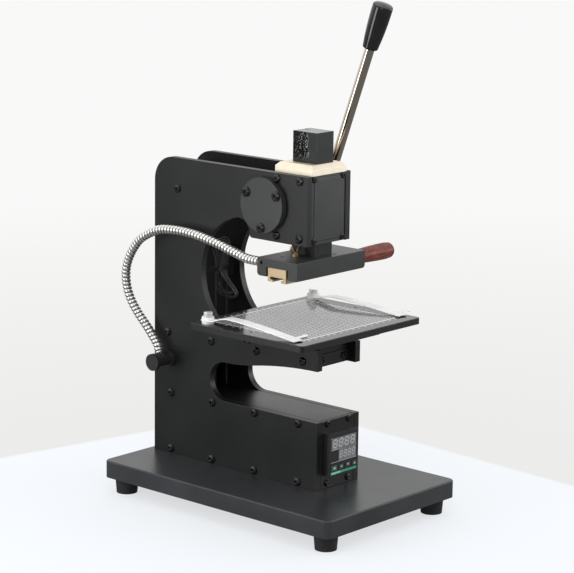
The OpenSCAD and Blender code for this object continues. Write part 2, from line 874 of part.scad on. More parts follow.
function tooth_half(r, slack) = let (rb = pitch_r * cos(press_angle))
    90 / gear_n - slack * 90 / (PI * pitch_r) + involute(press_angle)
        - (r > rb ? involute(acos(rb / r)) : 0);

module pinion_outline() {
    rb = pitch_r * cos(press_angle);
    rs = [root_r, max(rb, root_r + 0.1), pitch_r - 0.6 * gear_m, pitch_r - 0.15 * gear_m,
        pitch_r + 0.35 * gear_m, pitch_r + 0.7 * gear_m, tip_r];
    polygon([for (i = [0:gear_n - 1]) each concat(
        [for (k = [0:6]) let (a = 180 + 360 * i / gear_n - tooth_half(rs[k], slide))
            [shaft_y + rs[k] * cos(a), shaft_z + rs[k] * sin(a)]],
        [for (k = [0:6]) let (r = rs[6 - k], a = 180 + 360 * i / gear_n + tooth_half(r, slide))
            [shaft_y + r * cos(a), shaft_z + r * sin(a)]])]);
}

module drive_pinion() {
    color("#6f7275") difference() {
        union() {
            across(-pinion_w / 2, pinion_w / 2) pinion_outline();
            rod_x(-boss_x, boss_x, shaft_y, shaft_z, shaft_r + 4);
        }
        rod_x(-boss_x - 1, boss_x + 1, shaft_y, shaft_z, shaft_r + fit);
        block(-pinion_w / 2 - 0.1, pinion_w / 2 + 0.1, shaft_y - 2.5 - fit, shaft_y + 2.5 + fit,
            shaft_z, shaft_z + shaft_r + 2.4 + fit);
    }
}

module on_lever() {
    translate([lever_x, shaft_y, shaft_z]) rotate([lever_lean, 0, 0]) children();
}

hub_r = 15;
hub_reach = 27;
rod_root = 10.5;

module lever_hub() {
    color("#4a4c4f") difference() {
        union() {
            rod_x(outer + near, lever_x - 7, shaft_y, shaft_z, shaft_r + 4);
            rod_x(lever_x - 7.1, lever_x + 7, shaft_y, shaft_z, hub_r);
            on_lever() cylinder(h = hub_reach, r = rod_r + 2.8);
        }
        rod_x(outer, lever_x + 8, shaft_y, shaft_z, shaft_r + fit);
        on_lever() rod_z(0, 0, rod_root - 0.5, hub_reach + 1, rod_r + fit);
    }
}

stud_r = 4;
stud_l = 24;

module lever_rod() {
    color("#d4d6d8") on_lever() {
        rod_z(0, 0, rod_root, rod_l, rod_r);
        rod_z(0, 0, rod_l - 1, rod_l + stud_l, stud_r);
    }
}

module lever_knob() {
    neck = knob_r - 3;
    color("#161616") on_lever() translate([0, 0, rod_l]) rotate_extrude() difference() {
        polygon(concat([[0, 0], [neck - 1, 0]], arc(neck - 1, 1.2, 1.2, -60, 0, 3),
            [for (i = [1:10]) let (u = i / 10)
                [neck + (knob_r - neck) * sin(90 * pow(u, 0.85)), 1.2 + (knob_l - 9) * u]],
            arc(knob_r - 2.4, knob_l - 3.6, 2.4, 12, 72, 6),
            arc(0, knob_l - 34, 34, 74.5, 90, 4)));
        translate([-1, -1]) square([stud_r + fit + 1, stud_l + 2]);
    }
}

// Ram and heating block

rack_top = block_top + ram_l - 28;
rack_pitch = PI * gear_m;
rack_x = pinion_w < ram_w - 4 ? pinion_w / 2 + 1 : ram_w / 2 + 1;

module ram_bar() {
    top = block_top + ram_l;
    half = rack_pitch / 4;
    slope = tan(press_angle);
    root = 1.25 * gear_m;
    below = floor((shaft_z - head_z - 6) / rack_pitch);
    above = floor((rack_top - shaft_z) / rack_pitch);
    color("#3f4042") difference() {
        block(-ram_w / 2, ram_w / 2, ry - ram_d / 2, rack_face, block_top, top);
        for (i = [-below:above]) translate([0, 0, shaft_z + i * rack_pitch])
            across(-rack_x, rack_x) polygon([
                [rack_face + 0.5, -half - slope * (gear_m + 0.5)],
                [rack_face - gear_m - root, -half + slope * root],
                [rack_face - gear_m - root, half - slope * root],
                [rack_face + 0.5, half + slope * (gear_m + 0.5)]]);
        rod_z(3, ry + ram_d / 2 - 5, top - 12, top + 1, 2);
        at_ram_screws() rod_z(0, 0, block_top - 1, block_top + 12, 2);
    }
}

ram_screw_y = ram_d / 2 - 6;

module at_ram_screws() {
    for (x = [-8, 8], y = [-1, 1]) translate([x, ry + y * ram_screw_y, 0]) children();
}

module ram_screws() {
    color("#8a8c8e") at_ram_screws() translate([0, 0, slot_roof + 4]) rotate([180, 0, 0])
        cap_screw(4, 13);
}

block_holes = [[-38, -36.5], [38, -36.5], [15.4, -66], [-15.4, -66]];
heater_z = block_z + 7.7;
heater_ys = [(ry + slot_w / 2 + block_back) / 2, (ry - slot_w / 2 + block_front) / 2];
heater_r = 4;
wing_x = -27;

module heating_block() {
    hw = block_w / 2;
    r = 4;
    color("#47494b") difference() {
        intersection() {
            across(-hw, hw) polygon(concat([[block_front, block_top]],
                [[block_front, block_z + 0.8], [block_front + 0.8, block_z]],
                arc(block_back - r, block_z + r, r, -90, 0, 6), [[block_back, block_top]]));
            along(block_front - 1, block_back + 1) polygon(concat(
                [[-hw, block_top], [-hw, block_z]],
                arc(hw - r, block_z + r, r, -90, 0, 6), [[hw, block_top]]));
        }
        block(-hw - 1, hw + 1, ry - slot_w / 2, ry + slot_w / 2, block_z - 1, slot_roof);
        block(6.5 - hw, hw + 1, ry - key_neck / 2 - slide, ry + key_neck / 2 + slide,
            slot_roof - 1, slot_roof + key_lip + key_flange_h + 2 * slide);
        block(6.5 - hw, hw + 1, ry - key_flange / 2 - slide, ry + key_flange / 2 + slide,
            slot_roof + key_lip, slot_roof + key_lip + key_flange_h + 2 * slide);
        at_ram_screws() {
            rod_z(0, 0, slot_roof - 1, block_top + 1, 2 + near);
            rod_z(0, 0, slot_roof - 1, slot_roof + 4, 3.7);
        }
        for (p = block_holes) rod_z(p[0], p[1], block_top - 3.4, block_top + 1, 2.1);
        for (y = heater_ys) rod_x(13 - hw, hw + 1, y, heater_z, heater_r + near / 3);
        rod_x(-hw - 1, 6.5 - hw, ferrule_y - 2, ferrule_z + 1, 2.1);
        rod_y(ferrule_x, ferrule_y - 4, block_back + 1, ferrule_z, ferrule_r + fit);
        rod_z(wing_x, ry, slot_roof, block_top + 1, 2.5);
    }
}

ferrule_r = 3.6;
ferrule_y = block_back - 4;

module conduit_ferrule() {
    color("#b08d4f") difference() {
        rod_y(ferrule_x, block_back - 7.5, block_back + 0.8, ferrule_z, ferrule_r);
        rod_y(ferrule_x, block_back - 9, block_back + 2, ferrule_z, ferrule_r - 0.9);
    }
}

module heater_cartridges() {
    hw = block_w / 2;
    color("#9a9da0") for (y = heater_ys) difference() {
        rod_x(13.3 - hw, hw - 1.5, y, heater_z, heater_r);
        rod_x(hw - 5, hw, y, heater_z, 1.6);
    }
}

module wing_screw() {
    z0 = slot_roof + key_lip + key_flange_h + slide + 0.1;
    color("#c9a75c") {
        rod_z(wing_x, ry, z0, block_top + 1, 2.5 - fit);
        rod_z(wing_x, ry, block_top + near, block_top + 5.5, 3.6);
        translate([wing_x, 0, 0]) along(ry - 0.9, ry + 0.9) polygon([
            [-3, block_top + 2.5], [3, block_top + 2.5], [9, block_top + 10],
            [8, block_top + 12.6], [5.6, block_top + 12], [2, block_top + 6],
            [-2, block_top + 6], [-5.6, block_top + 12], [-8, block_top + 12.6],
            [-9, block_top + 10]]);
    }
}

module die_holder() {
    hw = block_w / 2;
    z_lip = holder_z + lip_t;
    color("#d6b878") difference() {
        union() {
            block(-hw, hw, ry - holder_w / 2, ry + holder_w / 2, holder_z, holder_top);
            block(7 - hw, hw - 7, ry - key_neck / 2, ry + key_neck / 2, holder_top - 1,
                slot_roof + key_lip + key_flange_h);
            block(7 - hw, hw - 7, ry - key_flange / 2, ry + key_flange / 2,
                slot_roof + key_lip + slide, slot_roof + key_lip + key_flange_h + slide);
        }
        block(-hw - 1, hw + 1, ry - groove_mouth / 2, ry + groove_mouth / 2, holder_z - 1,
            z_lip + 1);
        block(-hw - 1, hw + 1, ry - groove_w / 2, ry + groove_w / 2, z_lip, z_lip + groove_h);
        rod_x(hw - 12, hw + 1, ry, handle_z, 4);
    }
}

module holder_handle() {
    x0 = block_w / 2 + 4;
    color("#8a4a3c") {
        rod_x(x0 - 15, x0 + 20, ry, handle_z, 4 - fit);
        translate([x0, ry, handle_z]) rotate([0, 90, 0]) rotate_extrude() difference() {
            polygon(concat([[0, 0], [6.2, 0], [7, 0.8]],
                [for (i = [1:10]) let (u = i / 10)
                    [7 + (handle_r - 7) * sin(90 * u), 0.8 + (handle_l - 14) * u]],
                arc(handle_r - 8, handle_l - 8, 8, 24, 84, 7), [[0, handle_l]]));
            translate([-1, -1]) square([5, 21 + near]);
        }
    }
}

// Table

rail_mid = inner - rail_w / 2 + 0.6;
rail_screw_r = 1.25;
rail_y0 = front + arm_setback + 3;
rail_y1 = 64;
rail_screw_ys = [rail_y0 + 20, (rail_y0 + rail_y1) / 2, rail_y1 - 8];
tongue_z = arm_plate_top + 4.4;

module slide_rails() {
    color("#8f9396") for (s = [-1, 1]) difference() {
        block(s > 0 ? inner - rail_w : -face, s > 0 ? face : rail_w - inner, rail_y0, rail_y1,
            arm_plate_top, arm_plate_top + rail_h);
        block(s > 0 ? 0 : rail_w - inner - rail_tongue, s > 0 ? inner - rail_w + rail_tongue : 0,
            rail_y0 - 1, rail_y1 + 1, tongue_z - tongue_h / 2 - slide, tongue_z + tongue_h / 2 + slide);
        for (y = rail_screw_ys) {
            rod_z(s * rail_mid, y, arm_plate_top - 1, arm_plate_top + rail_h + 1, rail_screw_r + 0.1);
            rod_z(s * rail_mid, y, arm_plate_top + rail_h - 2, arm_plate_top + rail_h + 1, 2.2);
        }
    }
}

module slide_screws() {
    color("#77797b") {
        for (x = [-1, 1], y = rail_screw_ys)
            translate([x * rail_mid, y, arm_plate_top + rail_h - 2]) difference() {
                union() {
                    cylinder(h = 1.8, r = 2.1);
                    translate([0, 0, -11]) cylinder(h = 11.5, r = rail_screw_r - fit);
                }
                translate([0, 0, 0.9]) cylinder(h = 2, r = 1.2, $fn = 6);
            }
        difference() {
            rail_marks(1.5 - fit, -outer + 1, -inner - near / 3);
            rail_marks(0.9, -outer, -outer + 2.5);
        }
        rod_z(0, stop_pin_y, arm_plate_top - 6, arm_plate_top + 5, 2 - fit);
    }
}

module carriage_block() {
    half = inner - rail_w - slide;
    color("#3a3c3e") difference() {
        union() {
            block(-half, half, block_y0, block_y1, carriage_z, carriage_top);
            block(-half - rail_tongue + slide, half + rail_tongue - slide, block_y0, block_y1,
                tongue_z - tongue_h / 2, tongue_z + tongue_h / 2);
        }
        stop_slot(carriage_z - 1, carriage_z + 6);
        for (x = [-12, 12], y = carriage_ys) rod_z(x, y, carriage_top - 12, carriage_top + 1, 2);
    }
}

carriage_ys = [-60, 20];
table_xs = [-33, 33];
table_ys = [ty - 60, ty + 55];

// The slot that the stop pin runs in as the table slides out
module stop_slot(z0, z1) {
    r = 2.4;
    rod_z(0, stop_pin_y, z0, z1, r);
    rod_z(0, stop_pin_y + table_travel, z0, z1, r);
    block(-r, r, stop_pin_y, stop_pin_y + table_travel, z0, z1);
}

module carriage_plate() {
    w = carriage_w / 2;
    color("#323436") difference() {
        block(-w, w, ty - table_l / 2 + 9.6, table_ys[1] + 14.3, carriage_top, table_z);
        for (x = [-12, 12], y = carriage_ys) {
            rod_z(x, y, carriage_top - 1, table_z + 1, 2 + near);
            rod_z(x, y, table_z - 2.4, table_z + 1, 4.1);
        }
        for (x = table_xs, y = table_ys) rod_z(x, y, carriage_top - 1, table_z + 1, 2 + near);
    }
}

module table_screws() {
    color("#5a5c5e") {
        for (x = [-12, 12], y = carriage_ys) translate([x, y, table_z - 2.4]) difference() {
            union() {
                cylinder(h = 2.1, r = 3.8);
                translate([0, 0, -10]) cylinder(h = 10.5, r = 2 - fit);
            }
            translate([0, 0, 1]) cylinder(h = 2, r = 1.4, $fn = 6);
        }
        for (x = table_xs, y = table_ys) translate([x, y, carriage_top]) rotate([180, 0, 0])
            button_screw(4, 9);
    }
}

pin_hole_y = ty - 65.7;

module table_plate() {
    color("#4c5055") difference() {
        translate([0, ty, 0]) rounded_slab(table_w, table_l, 4, table_z, table_top, 0.5);
        for (s = [-1, 1]) {
            rod_z(s * strip_x, thumb_y, table_z - 1, table_top + 1, 2);
            rod_z(s * strip_x, pin_hole_y, table_z - 1, table_top + 1, 2.5);
            translate([s * strip_x, pin_hole_y, table_top - 2.5])
                cylinder(h = 2.51, r1 = 2.5, r2 = 5);
            rod_z(s * strip_x, (thumb_y + pin_hole_y) / 2 + 2, table_top - 3, table_top + 1, 1.5);
        }
        for (x = table_xs, y = table_ys) rod_z(x, y, table_z - 1, table_z + 6, 2);
    }
}

// Lower line of a bowed strip, from its clamped end to its front end
function strip_line(rise) = let (z0 = table_top + washer_low_h + near / 3,
        start = thumb_y - washer_r - 0.6, run = start - strip_front)
    concat([[thumb_y + strip_w / 2, z0], [start, z0]],
        [for (i = [1:18]) let (u = i / 18) [start - run * pow(u, 1.25),
            z0 + rise * (u < 0.3 ? (1 - cos(180 * u / 0.3)) / 2
                : pow(cos(90 * (u - 0.3) / 0.7), 1.1)) - (washer_low_h - 1) * pow(u, 2.2)]]);

// A strip's front end reaches to its right in a tab with an eyelet
module hold_down_strip(s, rise) {
    line = strip_line(rise);
    last = len(line) - 1;
    x = s * strip_x;
    module ribbon(x0, x1) {
        across(x0, x1) polygon(concat(line, [for (i = [0:last])
            [line[last - i][0], line[last - i][1] + strip_t]]));
    }
    eye_x = x + tab_reach;
    eye_y = strip_front + tab_w / 2;
    eye_z = line[last][1];
    difference() {
        union() {
            ribbon(x - strip_w / 2, x + strip_w / 2);
            intersection() {
                ribbon(x + strip_w / 2 - 1, eye_x);
                block(x, eye_x - 0.6, strip_front - 1, strip_front + tab_w, table_top, table_top + 20);
            }
            rod_z(eye_x, eye_y, eye_z, eye_z + strip_t + 0.6, eyelet_r);
        }
        rod_z(x, thumb_y, table_top, table_top + 20, 2.3);
        rod_z(eye_x, eye_y, table_top, table_top + 20, eyelet_hole_r);
    }
}

module hold_down_strips() {
    color("#f1f2f2") {
        hold_down_strip(-1, strip_rise[0]);
        hold_down_strip(1, strip_rise[1]);
    }
}

module nylon_washers() {
    low = table_top;
    up = table_top + washer_low_h + near / 3 + strip_t + near / 3;
    color("#eceded") {
        for (s = [-1, 1]) difference() {
            union() {
                rod_z(s * strip_x, thumb_y, low, low + washer_low_h, washer_r);
                rod_z(s * strip_x, thumb_y, up, up + washer_up_h, washer_r);
            }
            rod_z(s * strip_x, thumb_y, low - 1, up + 9, 2.2);
        }
    }
}

module thumb_screw(s) {
    z = table_top + washer_low_h + washer_up_h + strip_t + near;
    color("#c3c6c8") difference() {
        union() {
            rod_z(s * strip_x, thumb_y, table_z + 1, z + 1, 2 - fit);
            translate([s * strip_x, thumb_y, z]) {
                cylinder(h = 4.7, r = 4.8);
                translate([0, 0, 4.7]) cylinder(h = 0.7, r1 = 4.8, r2 = 4.1);
            }
        }
        for (i = [0:23]) translate([s * strip_x, thumb_y, z + 0.8]) rotate([0, 0, 15 * i])
            translate([4.8, 0, 0]) rotate([0, 0, 45]) cube([0.55, 0.55, 7], center = true);
    }
}

module left_thumb_screw() {
    thumb_screw(-1);
}

module right_thumb_screw() {
    thumb_screw(1);
}

// Electrics

module controller_case() {
    b = bezel / 2;
    c = case_w / 2;
    color("#2a2c2e") difference() {
        union() {
            block(-b, b, front - bezel_t, front, controller_z - b, controller_z + b);
            block(-c, c, front - 1, front + case_d, controller_z - c, controller_z + c);
        }
        display_shape(front - bezel_t - 1, front - bezel_t + 1.4, near / 3);
        for (x = key_xs) block(x - key_w / 2 - near / 2, x + key_w / 2 + near / 2,
            front - bezel_t - 1, front - bezel_t + key_depth + key_travel,
            key_z - key_h / 2 - near / 2, key_z + key_h / 2 + near / 2);
    }
}

// The two rows of the display behind one window
module display_shape(y0, y1, grow) {
    union() {
        block(-21 - grow, 21 + grow, y0, y1, controller_z + 5.6 - grow, controller_z + 18.6 + grow);
        block(-8.6 - grow, 21 + grow, y0, y1, controller_z - 8.4 - grow, controller_z + 6 + grow);
    }
}

module display_window() {
    color("#55585a") display_shape(front - bezel_t + 0.2, front - bezel_t + 1.3, 0);
}

module controller_key(i) {
    color("#3d4a46") block(key_xs[i] - key_w / 2, key_xs[i] + key_w / 2,
        front - bezel_t - key_proud, front - bezel_t + key_depth - near,
        key_z - key_h / 2, key_z + key_h / 2);
}

module terminal_block() {
    z0 = deck + bottom_t;
    color("#222222") difference() {
        block(-20, 20, terminal_y - 9, terminal_y + 9, z0, terminal_top);
        for (i = [-2:2]) block(i * 8 - 3, i * 8 + 3, terminal_y - 10, terminal_y - 3, z0 + 5,
            terminal_top + 1);
    }
}

module power_inlet() {
    color("#1f1f1f") difference() {
        union() {
            block(-25, 25, back, back + 3, inlet_z - 11.3, inlet_z + 11.3);
            block(-14, 14, back - 22, back + 0.5, inlet_z - 10, inlet_z + 10);
        }
        block(-12, 12, back - 16, back + 4, inlet_z - 7.8, inlet_z + 7.8);
        for (x = [-20, 20]) rod_y(x, back - 1, back + 4, inlet_z, 1.8);
    }
    color("#c8c8c8") for (p = [[-7, -1.5], [0, 2.2], [7, -1.5]])
        block(p[0] - 1, p[0] + 1, back - 17, back - 3, inlet_z + p[1] - 2, inlet_z + p[1] + 2);
    color("#77797b") for (x = [-20, 20]) on_back(x, back + 3, inlet_z) button_screw(3, 9);
}

module fuse_holder() {
    color("#202020") {
        rod_y(-12, back, back + 2.5, switch_z, 7.5);
        rod_y(-12, back - 18, back + 1, switch_z, 6);
        difference() {
            rod_y(-12, back + 2.4, back + 8, switch_z, 5.5);
            block(-16, -8, back + 6.8, back + 9, switch_z - 0.6, switch_z + 0.6);
        }
    }
}

rocker_x = 9;
rocker_y = back - 1;

module switch_body() {
    color("#1b1b1b") difference() {
        union() {
            block(rocker_x - 7.6, rocker_x + 7.6, back, back + 2, switch_z - 10.6, switch_z + 10.6);
            block(rocker_x - 6.6, rocker_x + 6.6, back - 17, back + 0.5, switch_z - 9.6,
                switch_z + 9.6);
        }
        block(rocker_x - 5.2, rocker_x + 5.2, back - 10, back + 3, switch_z - 8.4, switch_z + 8.4);
        rod_x(rocker_x - 6, rocker_x + 6, rocker_y, switch_z, 1.2 + fit);
    }
}

module switch_rocker() {
    color("#26282a") {
        difference() {
            across(rocker_x - 4.9, rocker_x + 4.9) polygon([[back - 5, switch_z - 5],
                [back + 1.4, switch_z - 7.4], [back + 2.3, switch_z], [back + 4.2, switch_z + 5.9],
                [back - 1, switch_z + 5], [back - 5, switch_z + 3]]);
            rod_x(rocker_x - 6, rocker_x + 6, rocker_y, switch_z, 1.1);
        }
        rod_x(rocker_x - 5.9, rocker_x + 5.9, rocker_y, switch_z, 1.2);
    }
}

module conduit_gland() {
    color("#2a2b2c") {
        difference() {
            union() {
                rod_x(gland_end, -outer, gland_y, gland_z, gland_r);
                rod_x(gland_end - 4, gland_end + 0.1, gland_y, gland_z, gland_r + 3.3);
                rod_x(-outer - 4, -outer, gland_y, gland_z, gland_r + 2);
                rod_x(-outer - 0.5, -inner + 8, gland_y, gland_z, 5);
                translate([conduit_x, gland_y, gland_z]) rotate([-gland_lean, 0, 0])
                    cylinder(h = port_l - 0.1, r = port_r);
            }
            rod_x(conduit_x - 3, -inner + 9, gland_y, gland_z, 3.1);
            translate([conduit_x, gland_y, gland_z]) rotate([-gland_lean, 0, 0])
                cylinder(h = port_l + 1, r = 3.4);
        }
        difference() {
            rod_x(-inner + near, -inner + 5, gland_y, gland_z, 8.5);
            rod_x(-inner, -inner + 6, gland_y, gland_z, 5 + fit);
        }
    }
}

module heater_conduit() {
    line = curve(conduit_route, 8);
    far = lengths(line);
    length = far[len(far) - 1];
    xs = [for (i = [0:len(line) - 1]) [far[i], line[i][0]]];
    ys = [for (i = [0:len(line) - 1]) [far[i], line[i][1]]];
    zs = [for (i = [0:len(line) - 1]) [far[i], line[i][2]]];
    function at(s) = [lookup(s, xs), lookup(s, ys), lookup(s, zs)];
    function way(s) = unit(at(min(s + 2, length)) - at(max(s - 2, 0)));
    ribs = floor(length / rib_pitch);
    step = length / ribs;
    valley = conduit_r - conduit_wall;
    bore = valley - conduit_wall;
    outside = [for (i = [0:ribs * 2]) let (s = i * step / 2)
        ring(at(s), way(s), i % 2 == 1 ? conduit_r : valley, 8)];
    bores = ceil(ribs / 2);
    inside = [for (i = [0:bores]) let (s = length * (1 - i / bores)) ring(at(s), way(s), bore, 8)];
    echo(conduit_length = length, conduit_ribs = ribs);
    color("#c9ccce") hollow_tube(concat(outside, inside), 8);
}

// Middle line of the spare lead: up from the terminals, round the hank, and down again
function hank_point(a) = let (up = sin(a), low = up < 0 ? 1 : 0, wide = pow(up, 2),
        lobe = (low > 0 ? hank_low_w : hank_lobe_w) * (1 + 0.16 * sin(a * 0.7)),
        tall = (low > 0 ? hank_low_h : hank_lobe_h) * (1 - 0.1 * sin(a * 0.45)),
        to_end = 360 * (lead_loops - 0.5) - a,
        aside = hank_spread * (pow(max(0, 1 - to_end / 180), 2) - pow(max(0, 1 - a / 180), 2)))
    [hank_x + hank_pitch * a / 360 + aside,
     hank_y + cos(a) * (hank_waist + lobe * wide) - low * hank_lean * wide, hank_z + tall * up];

function lead_line() = let (turns = 360 * (lead_loops - 0.5), n = 24 * (lead_loops - 0.5),
        first = hank_point(0), end = hank_point(turns))
    concat([[first[0], first[1], terminal_top + near], [first[0], first[1], hank_z - 8]],
        [for (i = [1:n - 1]) hank_point(turns * i / n)],
        [[end[0], end[1], hank_z - 8], [end[0], end[1], terminal_top + near]]);

module spare_lead() {
    line = lead_line();
    last = len(line) - 1;
    apart = [for (i = [0:last - 10], j = [i + 9:last - 1]) norm(line[i] - line[j])];
    echo(lead_length = lengths(line)[last], lead_least_gap = min(apart) - 2 * lead_r);
    color("#1c1c1c") tube([for (i = [0:last])
        ring(line[i], i == 0 || i == last ? [0, 0, i == 0 ? 1 : -1]
            : unit(line[i + 1] - line[i - 1]), lead_r, 6)], 6);
}

module lead_tie() {
    x0 = hank_x - hank_spread - 3.2;
    x1 = face;
    w = hank_waist + lead_r + 1.6;
    color("#2c2d2f") {
        difference() {
            block(x0, x1 - 2.4, hank_y - w, hank_y + w, hank_z - 1.5, hank_z + 1.5);
            block(x0 + 1.2, x1 - 2.6, hank_y - w + 1.2, hank_y + w - 1.2, hank_z - 2, hank_z + 2);
        }
        block(x0 - 1.2, x0, hank_y - 2.4, hank_y + 2.4, hank_z - 2.4, hank_z + 2.4);
        block(x0 - 0.8, x0 + 0.2, hank_y + 2, hank_y + 17, hank_z - 1.2, hank_z + 1.2);
        block(x1 - 2.6, x1, hank_y - 9, hank_y + 9, hank_z - 9, hank_z + 9);
    }
}

module cable_grommets() {
    module grommet(x, y, z0, z1, hole, bore) {
        difference() {
            union() {
                rod_z(x, y, z0, z1, hole - fit);
                rod_z(x, y, z1 - 0.1, z1 + 1, hole + 0.1);
            }
            rod_z(x, y, z0 - 1, z1 + 2, bore);
        }
    }
    color("#151515") {
        for (z = [[arm_plate_z, arm_plate_top], [box_plate_z, box_top]]) {
            grommet(lead_xs[0], lead_ys[1], z[0], z[1], lead_hole_r, lead_r + 0.1);
            grommet(lead_xs[1], lead_ys[0], z[0], z[1], lead_hole_r, lead_r + 0.1);
        }
        grommet(-14, gland_y, box_plate_z, box_top, 5, 3.6);
    }
}

// A lead of straight runs with round corners
module lead(points, r) {
    for (i = [0:len(points) - 2]) hull() {
        translate(points[i]) sphere(r = r, $fn = 10);
        translate(points[i + 1]) sphere(r = r, $fn = 10);
    }
}

module box_wiring() {
    top = terminal_top;
    rear = front + case_d;
    color("#7b2b22") lead([[-16, terminal_y - 5.5, top + near + 1.2], [-16, terminal_y - 5.5, top + 9],
        [-8, rear + near + 1.2, controller_z + 4]], 1.2);
    color("#2b3f7a") lead([[-8, terminal_y - 5.5, top - 1.8], [-8, terminal_y - 5.5, top + 4],
        [0, rear + near + 1.2, controller_z - 6]], 1.2);
    color("#6b5a1f") lead([[-12, terminal_y + 5, top + near + 1.5], [-12, terminal_y + 5, top + 8],
        [-12, gland_y - 6, top + 16],
        [-14, gland_y, box_plate_z - 6], [-14, gland_y, gland_z - 14],
        [-inner + 9.9, gland_y, gland_z]], 1.5);
}

base_plate();
rubber_feet();
base_screws();
side_plate_left();
side_plate_right();
side_plate_screws();
box_bottom_plate();
box_top_plate();
arm_plate();
arm_front_plate();
rear_spacer();
top_guide();
bottom_guide();
front_cover();
front_panel();
back_panel();
cover_screws();
spring_housing();
return_spring();
shaft_bushes();
slide_rails();
slide_screws();
controller_case();
display_window();
controller_key(0);  // set_key
controller_key(1);  // shift_key
controller_key(2);  // down_key
controller_key(3);  // up_key
terminal_block();
power_inlet();
fuse_holder();
switch_body();
switch_rocker();
conduit_gland();
heater_conduit();
conduit_ferrule();
spare_lead();
lead_tie();
cable_grommets();
box_wiring();
table_plate();
carriage_plate();
carriage_block();
table_screws();
hold_down_strips();
nylon_washers();
left_thumb_screw();
right_thumb_screw();
lever_shaft();
drive_pinion();
lever_hub();
lever_rod();
lever_knob();
ram_bar();
heating_block();
heater_cartridges();
ram_screws();
wing_screw();
die_holder();
holder_handle();
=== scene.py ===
"""Hot foil stamping machine: finishes, ribbed hose, spare lead, strips, controller face and studio.

All lengths are metres. The front faces -Y, the left side -X, and the machine stands on Z = 0.
"""

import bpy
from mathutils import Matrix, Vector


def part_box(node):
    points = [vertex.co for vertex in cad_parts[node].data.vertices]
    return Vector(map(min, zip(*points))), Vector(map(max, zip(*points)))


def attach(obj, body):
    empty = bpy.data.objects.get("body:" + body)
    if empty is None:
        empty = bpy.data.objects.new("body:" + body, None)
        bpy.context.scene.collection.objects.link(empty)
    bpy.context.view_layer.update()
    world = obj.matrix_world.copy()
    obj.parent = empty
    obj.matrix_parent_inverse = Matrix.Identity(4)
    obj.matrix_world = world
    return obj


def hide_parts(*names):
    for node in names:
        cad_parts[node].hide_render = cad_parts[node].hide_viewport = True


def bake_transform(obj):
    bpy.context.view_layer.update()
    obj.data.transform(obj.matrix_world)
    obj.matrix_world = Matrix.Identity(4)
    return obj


bl_info = {
    "name": "Hot foil stamping machine",
    "version": (1, 0, 0),
    "blender": (4, 5, 0),
    "location": "View3D > Sidebar > Foil press",
    "description": "Dresses the CAD model of a hand lever hot foil press",
    "category": "Object",
}

from math import cos, pi, radians, sin

import bmesh
import bpy
import numpy as np
from bpy.props import FloatProperty, FloatVectorProperty, IntProperty, PointerProperty
from mathutils import Matrix, Vector

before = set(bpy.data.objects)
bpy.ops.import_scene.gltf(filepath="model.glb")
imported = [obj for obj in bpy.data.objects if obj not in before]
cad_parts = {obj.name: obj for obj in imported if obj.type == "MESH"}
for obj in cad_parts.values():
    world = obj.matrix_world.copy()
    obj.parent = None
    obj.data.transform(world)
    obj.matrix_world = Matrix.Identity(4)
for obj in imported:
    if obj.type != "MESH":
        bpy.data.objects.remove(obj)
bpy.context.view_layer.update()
MM = 0.001


def size(name, text, value, low=0.0, high=10.0):
    """A length that a user may change, in metres."""
    return FloatProperty(name=name, description=text, default=value, min=low, max=high,
                         unit="LENGTH", precision=5)


def tint(name, text, value):
    """A colour that a user may change, linear red, green and blue."""
    return FloatVectorProperty(name=name, description=text, default=value, size=3, min=0.0,
                               max=1.0, subtype="COLOR")


def watts(name, text, value):
    """A lamp's power that a user may change."""
    return FloatProperty(name=name, description=text, default=value, min=0.0, unit="POWER")


class CameraSettings(bpy.types.PropertyGroup):
    turn: FloatProperty(name="Turn", description="Camera's turn from the front, left is negative",
                        default=radians(-48.51), subtype="ANGLE")
    rise: FloatProperty(name="Rise", description="Camera's angle above the horizon",
                        default=radians(11.89), subtype="ANGLE")
    tilt: FloatProperty(name="Tilt", description="Camera's roll about its own view",
                        default=radians(0.74), subtype="ANGLE")
    distance: size("Distance", "Camera to the aimed point", 2.60766, 0.1, 20.0)
    lens: FloatProperty(name="Lens", description="Focal length in millimetres", default=145.87,
                        min=1.0, unit="CAMERA")
    aim: FloatVectorProperty(name="Aim", description="Shift of the aimed point, right and up",
                             size=2, default=(0.00845, 0.04916), unit="LENGTH")


class HoseSettings(bpy.types.PropertyGroup):
    crest: size("Crest radius", "Outside of the ribs", 0.0053)
    valley: size("Valley radius", "Bottom of the grooves", 0.0042)
    ribs: IntProperty(name="Ribs", description="Ribs along the whole hose", default=75, min=8)
    length: size("Length", "Real length of the hose", 0.3427)


class LeadSettings(bpy.types.PropertyGroup):
    radius: size("Radius", "Half the lead's thickness", 0.0011)
    turns: FloatProperty(name="Turns", description="Turns in the hank", default=4.5)
    length: size("Length", "Real length of the lead", 1.108)


class StripSettings(bpy.types.PropertyGroup):
    width: size("Width", "Width of a hold-down strip", 0.0134)
    thick: size("Thickness", "Thickness of a hold-down strip", 0.0009)
    apart: size("From the middle", "Middle of the table to the middle of a strip", 0.088)
    front: size("Front end", "Strip's front end along Y", -0.0978, -1.0, 1.0)
    left_rise: size("Left bow", "Height of the left strip's bow", 0.007)
    right_rise: size("Right bow", "Height of the right strip's bow", 0.0049)


class FaceSettings(bpy.types.PropertyGroup):
    digit: size("Large digit", "Height of the upper row of digits", 0.0102)
    small_digit: size("Small digit", "Height of the lower row of digits", 0.0086)
    digit_colour: tint("Unlit digits", "Pale grey of the unlit digits", (0.40, 0.40, 0.405))
    stripe_colour: tint("Stripe", "Green stripe under the keys", (0.035, 0.36, 0.21))


